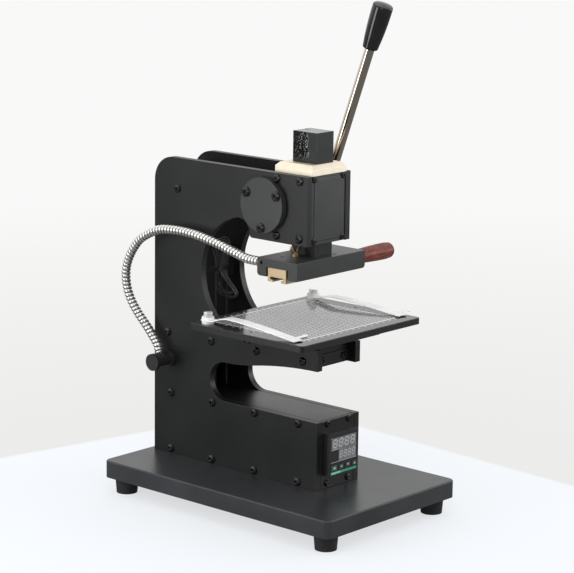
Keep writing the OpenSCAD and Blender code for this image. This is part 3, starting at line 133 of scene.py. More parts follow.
class CoatSettings(bpy.types.PropertyGroup):
    plate: tint("Plates", "Black coat of the plates", (0.0072, 0.0078, 0.0078))
    # Painted light: the head's coat is the plates' black made lighter, for the stronger light on
    # the head.
    head: tint("Head", "Coat of the cover, housing and heating block", (0.028, 0.029, 0.028))
    base: tint("Base", "Charcoal coat of the base plate", (0.032, 0.033, 0.036))
    oxide: tint("Screws", "Black oxide on the screws", (0.07, 0.07, 0.073))
    brass: tint("Brass", "Machined brass of the die holder", (0.60, 0.47, 0.30))
    guide: tint("Top guide", "Pale brass of the ram's top guide", (0.91, 0.82, 0.66))
    knob: tint("Knob", "Polished black of the knob", (0.008, 0.008, 0.008))
    grip: tint("Handle", "Red-brown of the holder's handle", (0.175, 0.036, 0.024))
    nylon: tint("Nylon", "White of washers and strips", (0.93, 0.93, 0.925))
    steel: tint("Steel", "Bright steel of hose, screws and rails", (0.66, 0.67, 0.68))
    chrome: tint("Chrome", "Plating of the lever rod", (0.60, 0.55, 0.48))


class StageSettings(bpy.types.PropertyGroup):
    floor: tint("Floor", "Pale floor", (0.84, 0.87, 0.96))
    near: tint("Near floor", "Plain light of the floor around the machine", (0.97, 0.99, 1.0))
    backdrop: tint("Backdrop", "Pale wall behind", (0.945, 0.95, 0.94))
    horizon: tint("Horizon", "Foot of the pale wall", (0.84, 0.845, 0.825))
    plain: FloatProperty(name="Plain share", description="Share of plain light in the near floor",
                         default=0.66, min=0.0, max=1.0, subtype="FACTOR")
    sky: FloatProperty(name="Sky", description="Strength of the even light", default=0.85, min=0.0)
    key: watts("Key light", "Power of the high left lamp", 7.0)
    side: watts("Side light", "Power of the low left lamp", 4.2)
    fill: watts("Fill light", "Power of the right lamp and of the top lamp", 4.5)


# Surfaces: every function works on whole arrays.


def row(*values):
    return np.array(values, dtype=float)


def points(x, y, z):
    """Points from three arrays or numbers, stretched to one shape."""
    return np.stack(np.broadcast_arrays(x, y, z), axis=-1).reshape(-1, 3)


def join_parts(parts):
    """Vertices and faces of several parts as one."""
    start = np.cumsum([0] + [len(v) for v, _ in parts])
    verts = np.concatenate([v for v, _ in parts])
    faces = [tuple(int(i + s) for i in f) for (_, fs), s in zip(parts, start) for f in fs]
    return verts, faces


def make_piece(name, verts, faces, material, smooth=True, merge=0.0):
    """One mesh object at the origin, with its place in its mesh."""
    mesh = bpy.data.meshes.new(name)
    mesh.from_pydata([tuple(p) for p in np.asarray(verts).tolist()], [], faces)
    if merge:
        bm = bmesh.new()
        bm.from_mesh(mesh)
        bmesh.ops.remove_doubles(bm, verts=bm.verts, dist=merge)
        bmesh.ops.recalc_face_normals(bm, faces=bm.faces)
        bm.to_mesh(mesh)
        bm.free()
    mesh.materials.append(material)
    mesh.polygons.foreach_set("use_smooth", [smooth] * len(mesh.polygons))
    mesh.validate()
    piece = bpy.data.objects.new(name, mesh)
    bpy.context.scene.collection.objects.link(piece)
    return piece


def grid_faces(rows, cols, wrap):
    """Quads of a grid of rows by cols points. wrap closes each row on itself."""
    r = np.arange(rows - 1)[:, None]
    c = np.arange(cols if wrap else cols - 1)[None, :]
    n = (c + 1) % cols
    a, b = r * cols + c, r * cols + n
    d, e = (r + 1) * cols + c, (r + 1) * cols + n
    return [tuple(q) for q in np.stack([a, b, e, d], axis=-1).reshape(-1, 4).tolist()]


def smooth_path(stations, steps):
    """Catmull-Rom: each span is the cubic through its two points whose slope at a point is half
    the chord between that point's neighbours."""
    p = np.asarray(stations, dtype=float)
    p = np.vstack([2 * p[0] - p[1], p, 2 * p[-1] - p[-2]])
    t = (np.arange(steps) / steps)[None, :, None]
    a, b, c, d = (p[i:len(p) - 3 + i][:, None, :] for i in range(4))
    q = 0.5 * (2 * b + (c - a) * t + (2 * a - 5 * b + 4 * c - d) * t**2
               + (3 * b - a - 3 * c + d) * t**3)
    return np.vstack([q.reshape(-1, 3), p[-2]])


def even_path(path, count):
    """The same path with its points at even distances along it."""
    step = np.linalg.norm(np.diff(path, axis=0), axis=1)
    along = np.concatenate([[0], np.cumsum(step)])
    want = np.linspace(0, along[-1], count)
    return np.stack([np.interp(want, along, path[:, i]) for i in range(3)], axis=1), want


def tube(path, radius, sides, side=(1, 0, 0)):
    """Rings round a path: point = path + r (cos t, n + sin t, b), where n is the side direction
    made square to the path, b is square to both, and r may change along and round the path."""
    path = np.asarray(path)
    along = np.gradient(path, axis=0)
    along /= np.linalg.norm(along, axis=1)[:, None]
    n = np.asarray(side, float)[None, :] - (along @ np.asarray(side, float))[:, None] * along
    n /= np.linalg.norm(n, axis=1)[:, None]
    b = np.cross(along, n)
    t = np.arange(sides) * 2 * pi / sides
    r = np.broadcast_to(np.asarray(radius, float), (len(path), sides))[..., None]
    ring = path[:, None, :] + r * (np.cos(t)[None, :, None] * n[:, None, :]
                                   + np.sin(t)[None, :, None] * b[:, None, :])
    verts = np.vstack([ring.reshape(-1, 3), path[:1], path[-1:]])
    faces = grid_faces(len(path), sides, True)
    first, last, k = len(verts) - 2, len(verts) - 1, (len(path) - 1) * sides
    faces += [(first, (i + 1) % sides, i) for i in range(sides)]
    faces += [(last, k + i, k + (i + 1) % sides) for i in range(sides)]
    return verts, faces


def slab(outline, y_front, y_back):
    """A flat mark: an outline in X and Z carried along Y, closed at both ends."""
    o = np.asarray(outline, float)
    n = len(o)
    front, back = (points(o[:, 0], y, o[:, 1]) for y in (y_front, y_back))
    sides = [(i, i + n, (i + 1) % n + n, (i + 1) % n) for i in range(n)]
    return np.vstack([front, back]), [tuple(range(n)), tuple(range(2 * n - 1, n - 1, -1))] + sides


def round_bar(x0, x1, z0, z1, r, n=5):
    """Outline of a bar with round corners: quarter circles of radius r at its four corners."""
    t = np.linspace(0, pi / 2, n)
    corners = [(x1 - r, z1 - r, 0), (x0 + r, z1 - r, pi / 2), (x0 + r, z0 + r, pi),
               (x1 - r, z0 + r, 1.5 * pi)]
    return np.vstack([np.stack([cx + r * np.cos(t + a), cz + r * np.sin(t + a)], axis=1)
                      for cx, cz, a in corners])


# Finishes: materials made of nodes on object coordinates.


def lighter(colour, share):
    return tuple(min(1.0, c * share) for c in colour)


def grey(shade):
    return (shade, shade, shade)


class Nodes:
    """A node tree, filled by short calls."""

    def __init__(self, tree):
        self.tree = tree
        tree.nodes.clear()

    def add(self, kind, sockets=None, **settings):
        """A node with its settings. A socket among the values is linked, a colour gets alpha 1."""
        node = self.tree.nodes.new(kind)
        for key, value in settings.items():
            setattr(node, key, value)
        for key, value in (sockets or {}).items():
            socket = node.inputs[key]
            if isinstance(value, bpy.types.NodeSocket):
                self.tree.links.new(value, socket)
            elif socket.type == "RGBA":
                socket.default_value = (*value[:3], 1.0)
            else:
                socket.default_value = value
        return node

    def math(self, kind, first, *others):
        """One operation carried through all its values in turn."""
        for value in others or (0.0,):
            first = self.add("ShaderNodeMath", {0: first, 1: value}, operation=kind).outputs[0]
        return first

    def times(self, *values):
        return self.math("MULTIPLY", *values)

    def plus(self, *values):
        return self.math("ADD", *values)

    def most(self, *values):
        return self.math("MAXIMUM", *values)

    def absolute(self, value):
        return self.math("ABSOLUTE", value)

    def dot(self, a, b):
        node = self.add("ShaderNodeVectorMath", {0: a, 1: b}, operation="DOT_PRODUCT")
        return node.outputs["Value"]

    def between(self, value, low, high, out_low=0.0, out_high=1.0):
        """low becomes out_low and high out_high, in a straight line that is held at both ends."""
        node = self.add("ShaderNodeMapRange", {"Value": value, "From Min": low, "From Max": high,
                                               "To Min": out_low, "To Max": out_high})
        return node.outputs[0]

    def blend(self, share, a, b):
        """Colour a where share is 0, and b where it is 1."""
        return self.add("ShaderNodeMix", {0: share, 6: a, 7: b}, data_type="RGBA").outputs[2]

    def blend_shaders(self, share, a, b):
        """Shader node a where share is 0, and b where it is 1."""
        return self.add("ShaderNodeMixShader", {0: share, 1: a.outputs[0], 2: b.outputs[0]})


class Finish(Nodes):
    """A material's node tree on object coordinates."""
    SOCKETS = {"colour": "Base Color", "rough": "Roughness", "metal": "Metallic",
               "normal": "Normal", "gloss": "Specular IOR Level", "coat": "Coat Weight",
               "coat_rough": "Coat Roughness"}

    def __init__(self, name):
        self.material = bpy.data.materials.new(name)
        self.material.use_nodes = True
        super().__init__(self.material.node_tree)
        self.place = self.add("ShaderNodeTexCoord").outputs["Object"]

    def part(self, axis, vector=None):
        """The part of the object coordinates, or of a vector, along X, Y or Z: 0, 1 or 2."""
        return self.add("ShaderNodeSeparateXYZ", {0: vector or self.place}).outputs[axis]

    def true_normal(self):
        return self.add("ShaderNodeNewGeometry").outputs["True Normal"]

    def noise(self, scale, detail=2.0, rough=0.5, vector=None):
        return self.add("ShaderNodeTexNoise", {"Vector": vector or self.place, "Scale": scale,
                                               "Detail": detail, "Roughness": rough}).outputs[0]

    def drawn(self, axis, along, across, detail=2.0, rough=0.5):
        """Noise with one scale along an axis and another across it, for brushed marks."""
        scale = [across] * 3
        scale[axis] = along
        place = self.add("ShaderNodeMapping", {"Vector": self.place, "Scale": scale}).outputs[0]
        return self.noise(1.0, detail, rough, place)

    def varied(self, noise, colour, dark, pale):
        """The colour times dark where the noise is low, and times pale where it is high."""
        return self.blend(self.between(noise, 0.3, 0.7), lighter(colour, dark),
                          lighter(colour, pale))

    def edge(self, radius):
        """Soft edge normal, and a mask that is 1 on sharp edges: 1 minus the dot product of the
        softened and the true normal."""
        soft = self.add("ShaderNodeBevel", {"Radius": radius}, samples=4).outputs[0]
        return soft, self.between(self.dot(soft, self.true_normal()), 0.995, 0.80)

    def bump(self, height, strength, distance, normal=None):
        sockets = {"Height": height, "Strength": strength, "Distance": distance}
        if normal:
            sockets["Normal"] = normal
        return self.add("ShaderNodeBump", sockets).outputs[0]

    def surface(self, **values):
        shader = self.add("ShaderNodeBsdfPrincipled",
                          {self.SOCKETS[key]: value for key, value in values.items()})
        self.add("ShaderNodeOutputMaterial", {0: shader.outputs[0]})
        return self.material


def powder_coat(name, colour, rough, grain=1500.0, rim_wear_and_highlight=(0.10, 0.103, 0.105), cut=0.0,
                inside=0.0, shine=0.5):
    """Satin coat: fine grain bump, broad cloudy change of shade and gloss, faint dust, and edges
    lightened in noisy patches, a painted highlight that is partly wear. cut lightens the faces that
    do not look along X, a plate's edge faces. Within inside of X = 0 the coat is rougher and
    darker: painted shade between the plates."""
    f = Finish(name)
    soft, rim = f.edge(0.0008)
    cloud = f.noise(14.0, 3.0)
    fine = f.noise(grain)
    dust = f.between(f.noise(1100.0, 1.0), 0.735, 0.80, 0.0, 0.35)
    # Noise that breaks the painted edge highlight into patches, partly wear.
    worn = f.between(f.noise(55.0, 3.0), 0.3, 0.7, 0.35, 0.85)
    shade = f.varied(cloud, colour, 0.82, 1.2)
    if cut:
        side = f.absolute(f.part(0, f.true_normal()))
        shade = f.blend(f.between(side, 0.6, 0.3), shade, lighter(colour, cut))
    # Painted highlight on the edges: lighter colour where the Bevel mask is high.
    shade = f.blend(f.times(rim, worn), shade, rim_wear_and_highlight)
    shade = f.blend(dust, shade, grey(0.16))
    dull = f.plus(f.between(cloud, 0.25, 0.75, rough - 0.05, rough + 0.05),
                  f.between(fine, 0.3, 0.7, -0.03, 0.03))
    if inside:
        # Painted shade: the faces near X = 0, the plates' inner faces, are darkened almost to black
        # and made rougher.
        within = f.between(f.absolute(f.part(0)), inside + 0.0003, inside + 0.0001)
        shade = f.blend(f.times(within, 0.85), shade, grey(0.001))
        dull = f.plus(dull, f.times(within, 0.35))
    return f.surface(colour=shade, rough=dull, gloss=shine,
                     normal=f.bump(fine, 0.22, 0.00012, soft))


def black_oxide(name, colour):
    """Blackened steel: dark metal with a fine grain and worn rims."""
    f = Finish(name)
    soft, rim = f.edge(0.0003)
    fine = f.noise(2600.0)
    shade = f.blend(f.times(rim, 0.7), colour, (0.30, 0.30, 0.31))
    return f.surface(colour=shade, metal=1.0, rough=f.between(fine, 0.3, 0.7, 0.14, 0.24),
                     normal=f.bump(fine, 0.15, 0.00005, soft))


def drawn_steel(name, colour, axis, rough=0.28):
    """Bright steel with fine marks drawn out along one axis."""
    f = Finish(name)
    lines = f.drawn(axis, 90.0, 2600.0)
    soft, rim = f.edge(0.0003)
    shade = f.varied(f.noise(60.0), colour, 0.86, 1.06)
    shade = f.blend(f.times(rim, 0.4), shade, (0.85, 0.85, 0.86))
    dull = f.between(lines, 0.3, 0.7, rough - 0.06, rough + 0.08)
    return f.surface(colour=shade, metal=1.0, rough=dull,
                     normal=f.bump(lines, 0.12, 0.00006, soft))


def milled_brass(name, colour, axis, metal=1.0, tarnish=0.7):
    """Dull machined brass: cutter marks across one axis, warm tarnish clouds, bright edges."""
    f = Finish(name)
    marks = f.drawn(axis, 2400.0, 70.0)
    soft, rim = f.edge(0.0005)
    red, green, blue = colour
    dull = (red * 0.86, green * 0.78, blue * 0.66)
    cloud = f.between(f.noise(90.0, 3.0), 0.4, 0.75, 0.0, tarnish)
    shade = f.blend(cloud, lighter(colour, 1.02), dull)
    shade = f.blend(f.times(rim, 0.5), shade, (0.95, 0.86, 0.66))
    return f.surface(colour=shade, metal=metal, rough=f.between(marks, 0.3, 0.7, 0.32, 0.48),
                     normal=f.bump(marks, 0.2, 0.00008, soft))


def plated_rod(name, colour):
    """Chrome: almost a mirror, with a faint straw tint that fades up the rod."""
    f = Finish(name)
    low = f.between(f.part(2), 0.50, 0.38, 0.0, 0.85)
    smear = f.between(f.noise(120.0), 0.45, 0.75, 0.0, 0.25)
    shade = f.blend(low, colour, (0.66, 0.52, 0.40))
    shade = f.blend(smear, shade, (0.55, 0.54, 0.52))
    lines = f.drawn(0, 2000.0, 60.0)
    return f.surface(colour=shade, metal=1.0, rough=f.between(lines, 0.3, 0.7, 0.07, 0.15),
                     normal=f.bump(lines, 0.04, 0.00004))


def polished_plastic(name, colour, rough=0.04):
    """Gloss moulding: clear skin over a deep colour, faint handling smears."""
    f = Finish(name)
    smear = f.noise(70.0, 3.0)
    return f.surface(colour=f.varied(smear, colour, 1.0, 1.5),
                     rough=f.between(smear, 0.35, 0.75, rough, rough + 0.08),
                     normal=f.bump(f.noise(1800.0), 0.02, 0.00003))


def mottled_grip(name, colour):
    """Red-brown grip: long darker streaks along X in a satin surface, paler rubbed spots."""
    f = Finish(name)
    streak = f.drawn(0, 55.0, 420.0, 4.0, 0.6)
    spots = f.between(f.noise(260.0, 3.0), 0.55, 0.75, 0.0, 0.5)
    shade = f.blend(f.between(streak, 0.35, 0.65), lighter(colour, 0.45), lighter(colour, 1.35))
    shade = f.blend(spots, shade, (0.34, 0.13, 0.09))
    return f.surface(colour=shade, rough=f.between(streak, 0.3, 0.7, 0.36, 0.5), gloss=0.3,
                     normal=f.bump(streak, 0.25, 0.0002))


def matt_moulding(name, colour, rough=0.55, grain=1300.0):
    """Matt moulded plastic or rubber: fine spark grain and slightly rubbed edges."""
    f = Finish(name)
    soft, rim = f.edge(0.0004)
    fine = f.noise(grain)
    shade = f.varied(f.noise(35.0), colour, 0.9, 1.1)
    shade = f.blend(f.times(rim, 0.5), shade, lighter(colour, 1.4))
    return f.surface(colour=shade, rough=f.between(fine, 0.3, 0.7, rough - 0.05, rough + 0.05),
                     normal=f.bump(fine, 0.25, 0.0001, soft))


def greased_bar(name, colour):
    """Ram bar: satin grey coat, a pale top face, and on the rear part of its left face a wet black
    patch of grease with small pale specks, painted glints, its border broken up by noise; a painted
    highlight on its edges."""
    f = Finish(name)
    soft, rim = f.edge(0.0005)
    low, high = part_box("ram_bar")
    left = f.between(f.part(0), low.x + 0.0010, low.x + 0.0002)
    above_guide = f.between(f.part(2), 0.398, 0.404)
    ragged = f.plus(f.part(1), f.times(f.noise(170.0, 3.0), 0.012))
    start = low.y + 0.38 * (high.y - low.y)
    rear = f.between(ragged, start + 0.005, start + 0.0065)
    wet = f.times(left, above_guide, rear)
    # The painted glint specks lie closer together towards the patch's front border.
    close = f.between(ragged, start + 0.022, start + 0.006, -0.045, 0.03)
    grain = f.plus(f.noise(620.0, 3.0, 0.65), close)
    # Painted highlight: pale specks stand for glints on the wet grease.
    painted_glint = f.times(f.between(grain, 0.575, 0.61), wet, 0.85)
    # Faces that look up are blended to a pale grey.
    top = f.between(f.part(2, f.true_normal()), 0.7, 0.9)
    shade = f.varied(f.noise(60.0), colour, 2.2, 3.0)
    shade = f.blend(top, shade, (0.34, 0.345, 0.34))
    shade = f.blend(wet, shade, grey(0.003))
    shade = f.blend(painted_glint, shade, (0.40, 0.39, 0.37))
    # Painted highlight on the edges where the Bevel mask is high.
    shade = f.blend(f.times(rim, 0.8), shade, grey(0.12))
    lumps = f.plus(f.times(wet, 3.0), f.times(f.noise(260.0, 4.0, 0.65), 2.0))
    height = f.plus(f.times(lumps, left), f.times(f.noise(1500.0), 0.4))
    return f.surface(colour=shade, rough=f.between(wet, 0.0, 1.0, 0.42, 0.1), gloss=0.25,
                     normal=f.bump(height, 0.4, 0.0001, soft))


def printed_table(name, coat):
    """Table: glossy black skin with a fine white grid of squares 5 mm wide inside a border, a row
    of dashes outside it, plain coat on its sides, and a painted highlight on its edges."""
    f = Finish(name)
    soft, rim = f.edge(0.0006)
    middle_y, reach_x, reach_y, dash_gap = -0.0365, 0.078, 0.0665, 0.0048
    cell_x, cell_y = 0.0052, reach_y / 13
    fine_half, border_half, dash_half, dash_long = 0.00046, 0.0011, 0.0006, 0.0017
    x, y = f.part(0), f.plus(f.part(1), -middle_y)
    up = f.between(f.part(2, f.true_normal()), 0.7, 0.9)

    def line(value, pitch, half):
        """1 within half of every multiple of pitch."""
        away = f.math("PINGPONG", value, pitch / 2)
        return f.between(away, half + 0.00008, half - 0.00008)

    def inside(value, reach):
        """1 between minus and plus reach."""
        return f.between(f.absolute(value), reach + 0.0001, reach - 0.0001)

    def near(value, reach, half):
        """1 within half of plus or minus reach."""
        away = f.absolute(f.math("SUBTRACT", f.absolute(value), reach))
        return f.between(away, half + 0.0001, half - 0.0001)

    in_x, in_y = inside(x, reach_x), inside(y, reach_y)
    grid = f.times(f.most(line(x, cell_x, fine_half), line(y, cell_y, fine_half)), in_x, in_y)
    border = f.most(f.times(near(x, reach_x, border_half), in_y),
                    f.times(near(y, reach_y, border_half), in_x))
    dashes = f.most(
        f.times(near(y, reach_y + dash_gap, dash_half), line(x, 2 * cell_x, dash_long), in_x),
        f.times(near(x, reach_x + dash_gap, dash_half), line(y, 2 * cell_y, dash_long), in_y))
    rubbed = f.between(f.noise(420.0, 3.0), 0.3, 0.55, 0.82, 1.0)
    ink = f.times(f.most(f.times(grid, 0.82), border, dashes), up, rubbed)
    fine = f.noise(1500.0)
    skin = f.blend(f.between(f.noise(30.0, 3.0), 0.3, 0.7), (0.032, 0.033, 0.033),
                   (0.05, 0.051, 0.051))
    skin = f.blend(up, lighter(coat, 0.8), skin)
    # Painted highlight: the table's sharp edges are lightened.
    skin = f.blend(f.times(rim, 0.5), skin, (0.11, 0.112, 0.114))
    shade = f.blend(ink, skin, (0.90, 0.91, 0.91))
    dull = f.between(up, 0.0, 1.0, 0.42, 0.08)
    dull = f.blend(f.between(fine, 0.3, 0.7, 0.0, 0.1), dull, grey(0.4))
    return f.surface(colour=shade, rough=dull, normal=f.bump(fine, 0.04, 0.00005, soft))


def display_glass(name, colour):
    """Dark window over the unlit display: faint cloudy change of shade under a gloss skin."""
    f = Finish(name)
    cloud = f.noise(160.0)
    return f.surface(colour=f.varied(cloud, colour, 0.882, 1.118),
                     rough=f.between(f.noise(2500.0), 0.3, 0.7, 0.12, 0.2),
                     normal=f.bump(cloud, 0.03, 0.0001), coat=0.3, coat_rough=0.05)


def printed_ink(name, colour, pale=None):
    """Printed mark: slightly uneven ink. pale is the colour of the stripe's left end, a painted
    highlight.
    """
    f = Finish(name)
    fine = f.noise(1900.0)
    shade = f.varied(fine, colour, 0.88, 1.1)
    if pale:
        # Painted highlight: the stripe's left end turns to the pale colour.
        shade = f.blend(f.between(f.part(0), -0.0045, -0.006), shade, pale)
    return f.surface(colour=shade, rough=f.between(fine, 0.3, 0.7, 0.34, 0.46),
                     normal=f.bump(fine, 0.08, 0.00005))


def hose_steel(name, colour):
    """Stainless strip: bright crests, and painted shade, a dark colour where the groove attribute
    is high.
    """
    f = Finish(name)
    depth = f.add("ShaderNodeAttribute", attribute_name="groove").outputs["Fac"]
    lines = f.noise(900.0)
    # Painted shade in the grooves.
    shade = f.blend(f.between(depth, 0.2, 0.85), colour, (0.07, 0.07, 0.071))
    return f.surface(colour=shade, metal=0.95, rough=f.between(lines, 0.3, 0.7, 0.22, 0.34),
                     normal=f.bump(lines, 0.08, 0.00006))


def finish(name):
    """The named finish, made once: its maker, its colour and the maker's options."""
    known = bpy.data.materials.get(name)
    if known:
        return known
    c = bpy.context.scene.press_coats
    x, y, z = ({"axis": axis} for axis in range(3))
    make, colour, options = {
        "satin_black_coat": (powder_coat, c.plate, {"rough": 0.38}),
        # inside gives the plates' inner faces a painted shade.
        "side_plate_coat": (powder_coat, c.plate, {"rough": 0.38, "cut": 1.2, "inside": 0.028,
                                                   "shine": 0.42}),
        # The head's coat is a lighter copy of the plates' black: painted light.
        "head_coat": (powder_coat, c.head, {"rough": 0.36}),
        # The base's painted edge highlight, partly wear, is dimmer than the plates'.
        "charcoal_base_coat": (powder_coat, c.base, {"rough": 0.32, "grain": 1300.0,
                                                     "rim_wear_and_highlight": (0.055, 0.057, 0.062)}),
        "foot_rubber": (matt_moulding, grey(0.014), {"rough": 0.7, "grain": 900.0}),
        "black_oxide": (black_oxide, c.oxide, {}),
        "steel_along_x": (drawn_steel, c.steel, x),
        "steel_along_y": (drawn_steel, c.steel, y),
        "steel_along_z": (drawn_steel, c.steel, z),
        "bright_steel": (drawn_steel, (0.96, 0.96, 0.95), {"axis": 2, "rough": 0.46}),
        "milled_brass": (milled_brass, c.brass, x),
        "turned_brass": (milled_brass, c.brass, z),
        "pale_brass": (milled_brass, c.guide, {"axis": 0, "metal": 0.5, "tarnish": 0.3}),
        "plated_rod": (plated_rod, c.chrome, {}),
        "polished_knob": (polished_plastic, c.knob, {}),
        "mottled_grip": (mottled_grip, c.grip, {}),
        "white_nylon": (matt_moulding, c.nylon, {"rough": 0.42, "grain": 900.0}),
        "white_strip": (matt_moulding, c.nylon, {"rough": 0.3, "grain": 700.0}),
        "black_moulding": (matt_moulding, (0.016, 0.016, 0.017), {"rough": 0.45}),
        "grey_key": (matt_moulding, (0.03, 0.034, 0.033), {"rough": 0.45}),
        "green_key": (matt_moulding, (0.03, 0.13, 0.095), {"rough": 0.42}),
        "lead_sleeve": (matt_moulding, (0.05, 0.051, 0.053), {"rough": 0.28, "grain": 1500.0}),
        "red_wire": (matt_moulding, (0.20, 0.03, 0.02), {"rough": 0.4, "grain": 1500.0}),
        "greased_bar": (greased_bar, c.plate, {}),
        "printed_table": (printed_table, c.plate, {}),
        "display_glass": (display_glass, (0.17, 0.17, 0.173), {}),
        "hose_steel": (hose_steel, (0.92, 0.92, 0.89), {}),
    }[name]
    return make(name, tuple(colour), **options)


NODE_FINISHES = {
    "satin_black_coat": """box_bottom_plate box_top_plate arm_plate arm_front_plate rear_spacer
        bottom_guide front_panel back_panel carriage_plate carriage_block""",
    "side_plate_coat": "side_plate_left side_plate_right",
    "head_coat": "front_cover spring_housing heating_block",
    "charcoal_base_coat": "base_plate",
    "foot_rubber": "rubber_feet cable_grommets conduit_gland",
    "black_oxide": """base_screws side_plate_screws cover_screws slide_screws table_screws
        ram_screws drive_pinion lever_hub""",
    "steel_along_x": "lever_shaft heater_cartridges",
    "steel_along_y": "slide_rails conduit_ferrule",
    "steel_along_z": "return_spring",
    "bright_steel": "left_thumb_screw right_thumb_screw",
    "pale_brass": "top_guide",
    "milled_brass": "die_holder shaft_bushes",
    "turned_brass": "wing_screw",
    "plated_rod": "lever_rod",
    "polished_knob": "lever_knob",
    "mottled_grip": "holder_handle",
    "white_nylon": "nylon_washers",
    "white_strip": "hold_down_strips",
    "black_moulding": """controller_case terminal_block power_inlet fuse_holder switch_body
        switch_rocker lead_tie""",
    "grey_key": "shift_key down_key up_key",
    "green_key": "set_key",
    "greased_bar": "ram_bar",
    "printed_table": "table_plate",
    "display_glass": "display_window",
    "hose_steel": "heater_conduit",
    "lead_sleeve": "spare_lead",
    "red_wire": "box_wiring",
}


class PRESS_OT_camera(bpy.types.Operator):
    """Sets the camera at the photograph's viewing angle"""
    bl_idname = "press.camera"
    bl_label = "Camera"

    def execute(self, context):
        c = context.scene.press_camera
        back = Vector((sin(c.turn) * cos(c.rise), -cos(c.turn) * cos(c.rise), sin(c.rise)))
        flat_right = Vector((0, 0, 1)).cross(back).normalized()
        flat_up = back.cross(flat_right)
        right = cos(c.tilt) * flat_right + sin(c.tilt) * flat_up
        up = cos(c.tilt) * flat_up - sin(c.tilt) * flat_right
        target = Vector((0, 0, 0.2)) + c.aim[0] * right + c.aim[1] * up
        data = bpy.data.cameras.new("camera")
        data.lens = c.lens
        data.sensor_width = 36.0
        data.sensor_fit = "HORIZONTAL"
        data.clip_end = 60.0
        camera = bpy.data.objects.new("camera", data)
        turned = Matrix((right, up, back)).transposed().to_4x4()
        turned.translation = target + back * c.distance
        camera.matrix_world = turned
        context.scene.collection.objects.link(camera)
        context.scene.camera = camera
        return {"FINISHED"}


class PRESS_OT_hose(bpy.types.Operator):
    """Makes the ribbed steel hose from the left plate to the heating block"""
    bl_idname = "press.hose"
    bl_label = "Ribbed hose"

    def execute(self, context):
        c = context.scene.press_hose
        # The route in millimetres. It leaves the gland straight, leaning 28 degrees back.
        start = row(-48, 140.460, 159.388)
        rise = row(0, sin(radians(28)), cos(radians(28)))
        stations = [start, start + 5 * rise, start + 12 * rise]
        stations += [row(*p) for p in (
            (-49.2, 162.5, 189), (-50.6, 175.3, 203), (-51.6, 186, 219), (-52.2, 191, 236),
            (-52.6, 190, 254), (-52.7, 182.5, 271), (-52.9, 168.8, 287.6), (-53, 151, 298.3),
            (-53, 134, 304.3), (-52.6, 115, 306.3), (-52, 96, 306.2), (-51.5, 78, 304.5),
            (-50.8, 61, 301.5), (-50, 43, 297.5), (-50, 25, 293), (-50, 8, 289),
            (-50, -2.1, 288), (-50, -10.1, 288), (-50, -16, 288))]
        route = smooth_path(stations, 8) * MM
        rings_a_rib, sides, fullness = 10, 36, 2.8
        path, along = even_path(route, c.ribs * rings_a_rib + 1)
        turn = np.arange(sides) / sides
        # Each rib is a round band and a narrow groove: 1 - |2 f - 1| to the power of fullness,
        # where f is the place within the rib. The ribs wind round as one slow screw.
        f = (along[:, None] / along[-1] * c.ribs + turn[None, :]) % 1.0
        crest = 1 - np.abs(2 * f - 1) ** fullness
        verts, faces = tube(path, c.valley + (c.crest - c.valley) * crest, sides)
        hose = make_piece("ribbed_hose", verts, faces, finish("hose_steel"))
        # The groove attribute carries the painted shade in the grooves.
        groove = hose.data.attributes.new("groove", "FLOAT", "POINT")
        groove.data.foreach_set("value", np.concatenate([(1 - crest).ravel(), [0, 0]]))
        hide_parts("heater_conduit")
        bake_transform(hose)
        return {"FINISHED"}


class PRESS_OT_lead(bpy.types.Operator):
    """Makes the spare sensor lead, wound in a tied hank inside the right plate"""
    bl_idname = "press.lead"
    bl_label = "Spare lead"

    def execute(self, context):
        c = context.scene.press_lead
        # The hank is a tall loop pinched at its middle, with up = tall sin a and across =
        # cos a (waist + lobe sin a squared). Lobe and tall change slowly from turn to turn, the
        # lower half is wider and leans forward, and both ends are spread along X.
        first_x, middle_y, middle_z, grommet_z = 10.6, 105, 254, 64.3
        step, spread, waist, lean = 2.7, 1.1, 1.9, 13
        a = np.linspace(0, c.turns * 2 * pi, int(c.turns * 72) + 1)
        low, wide = np.sin(a) < 0, np.sin(a)**2
        lobe = np.where(low, 30, 16) * (1 + 0.16 * np.sin(0.7 * a))
        tall = np.where(low, 29.5, 33) * (1 - 0.1 * np.sin(0.45 * a))
        aside = spread * ((1 - (a[-1] - a) / pi).clip(0)**2 - (1 - a / pi).clip(0)**2)
        hank = points(first_x + step * a / (2 * pi) + aside,
                      middle_y + np.cos(a) * (waist + lobe * wide) - lean * low * wide,
                      middle_z + tall * np.sin(a))
        # Both ends run straight down from the hank to their grommets.
        down, up = (points(x, y, np.linspace(grommet_z, z, 40)[:-1]) for x, y, z in hank[[-1, 0]])
        path = np.vstack([up, hank, down[::-1]]) * MM
        verts, faces = tube(path, c.radius, 12)
        lead = make_piece("spare_sensor_lead", verts, faces, finish("lead_sleeve"))
        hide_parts("spare_lead")
        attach(lead, "frame")
        return {"FINISHED"}


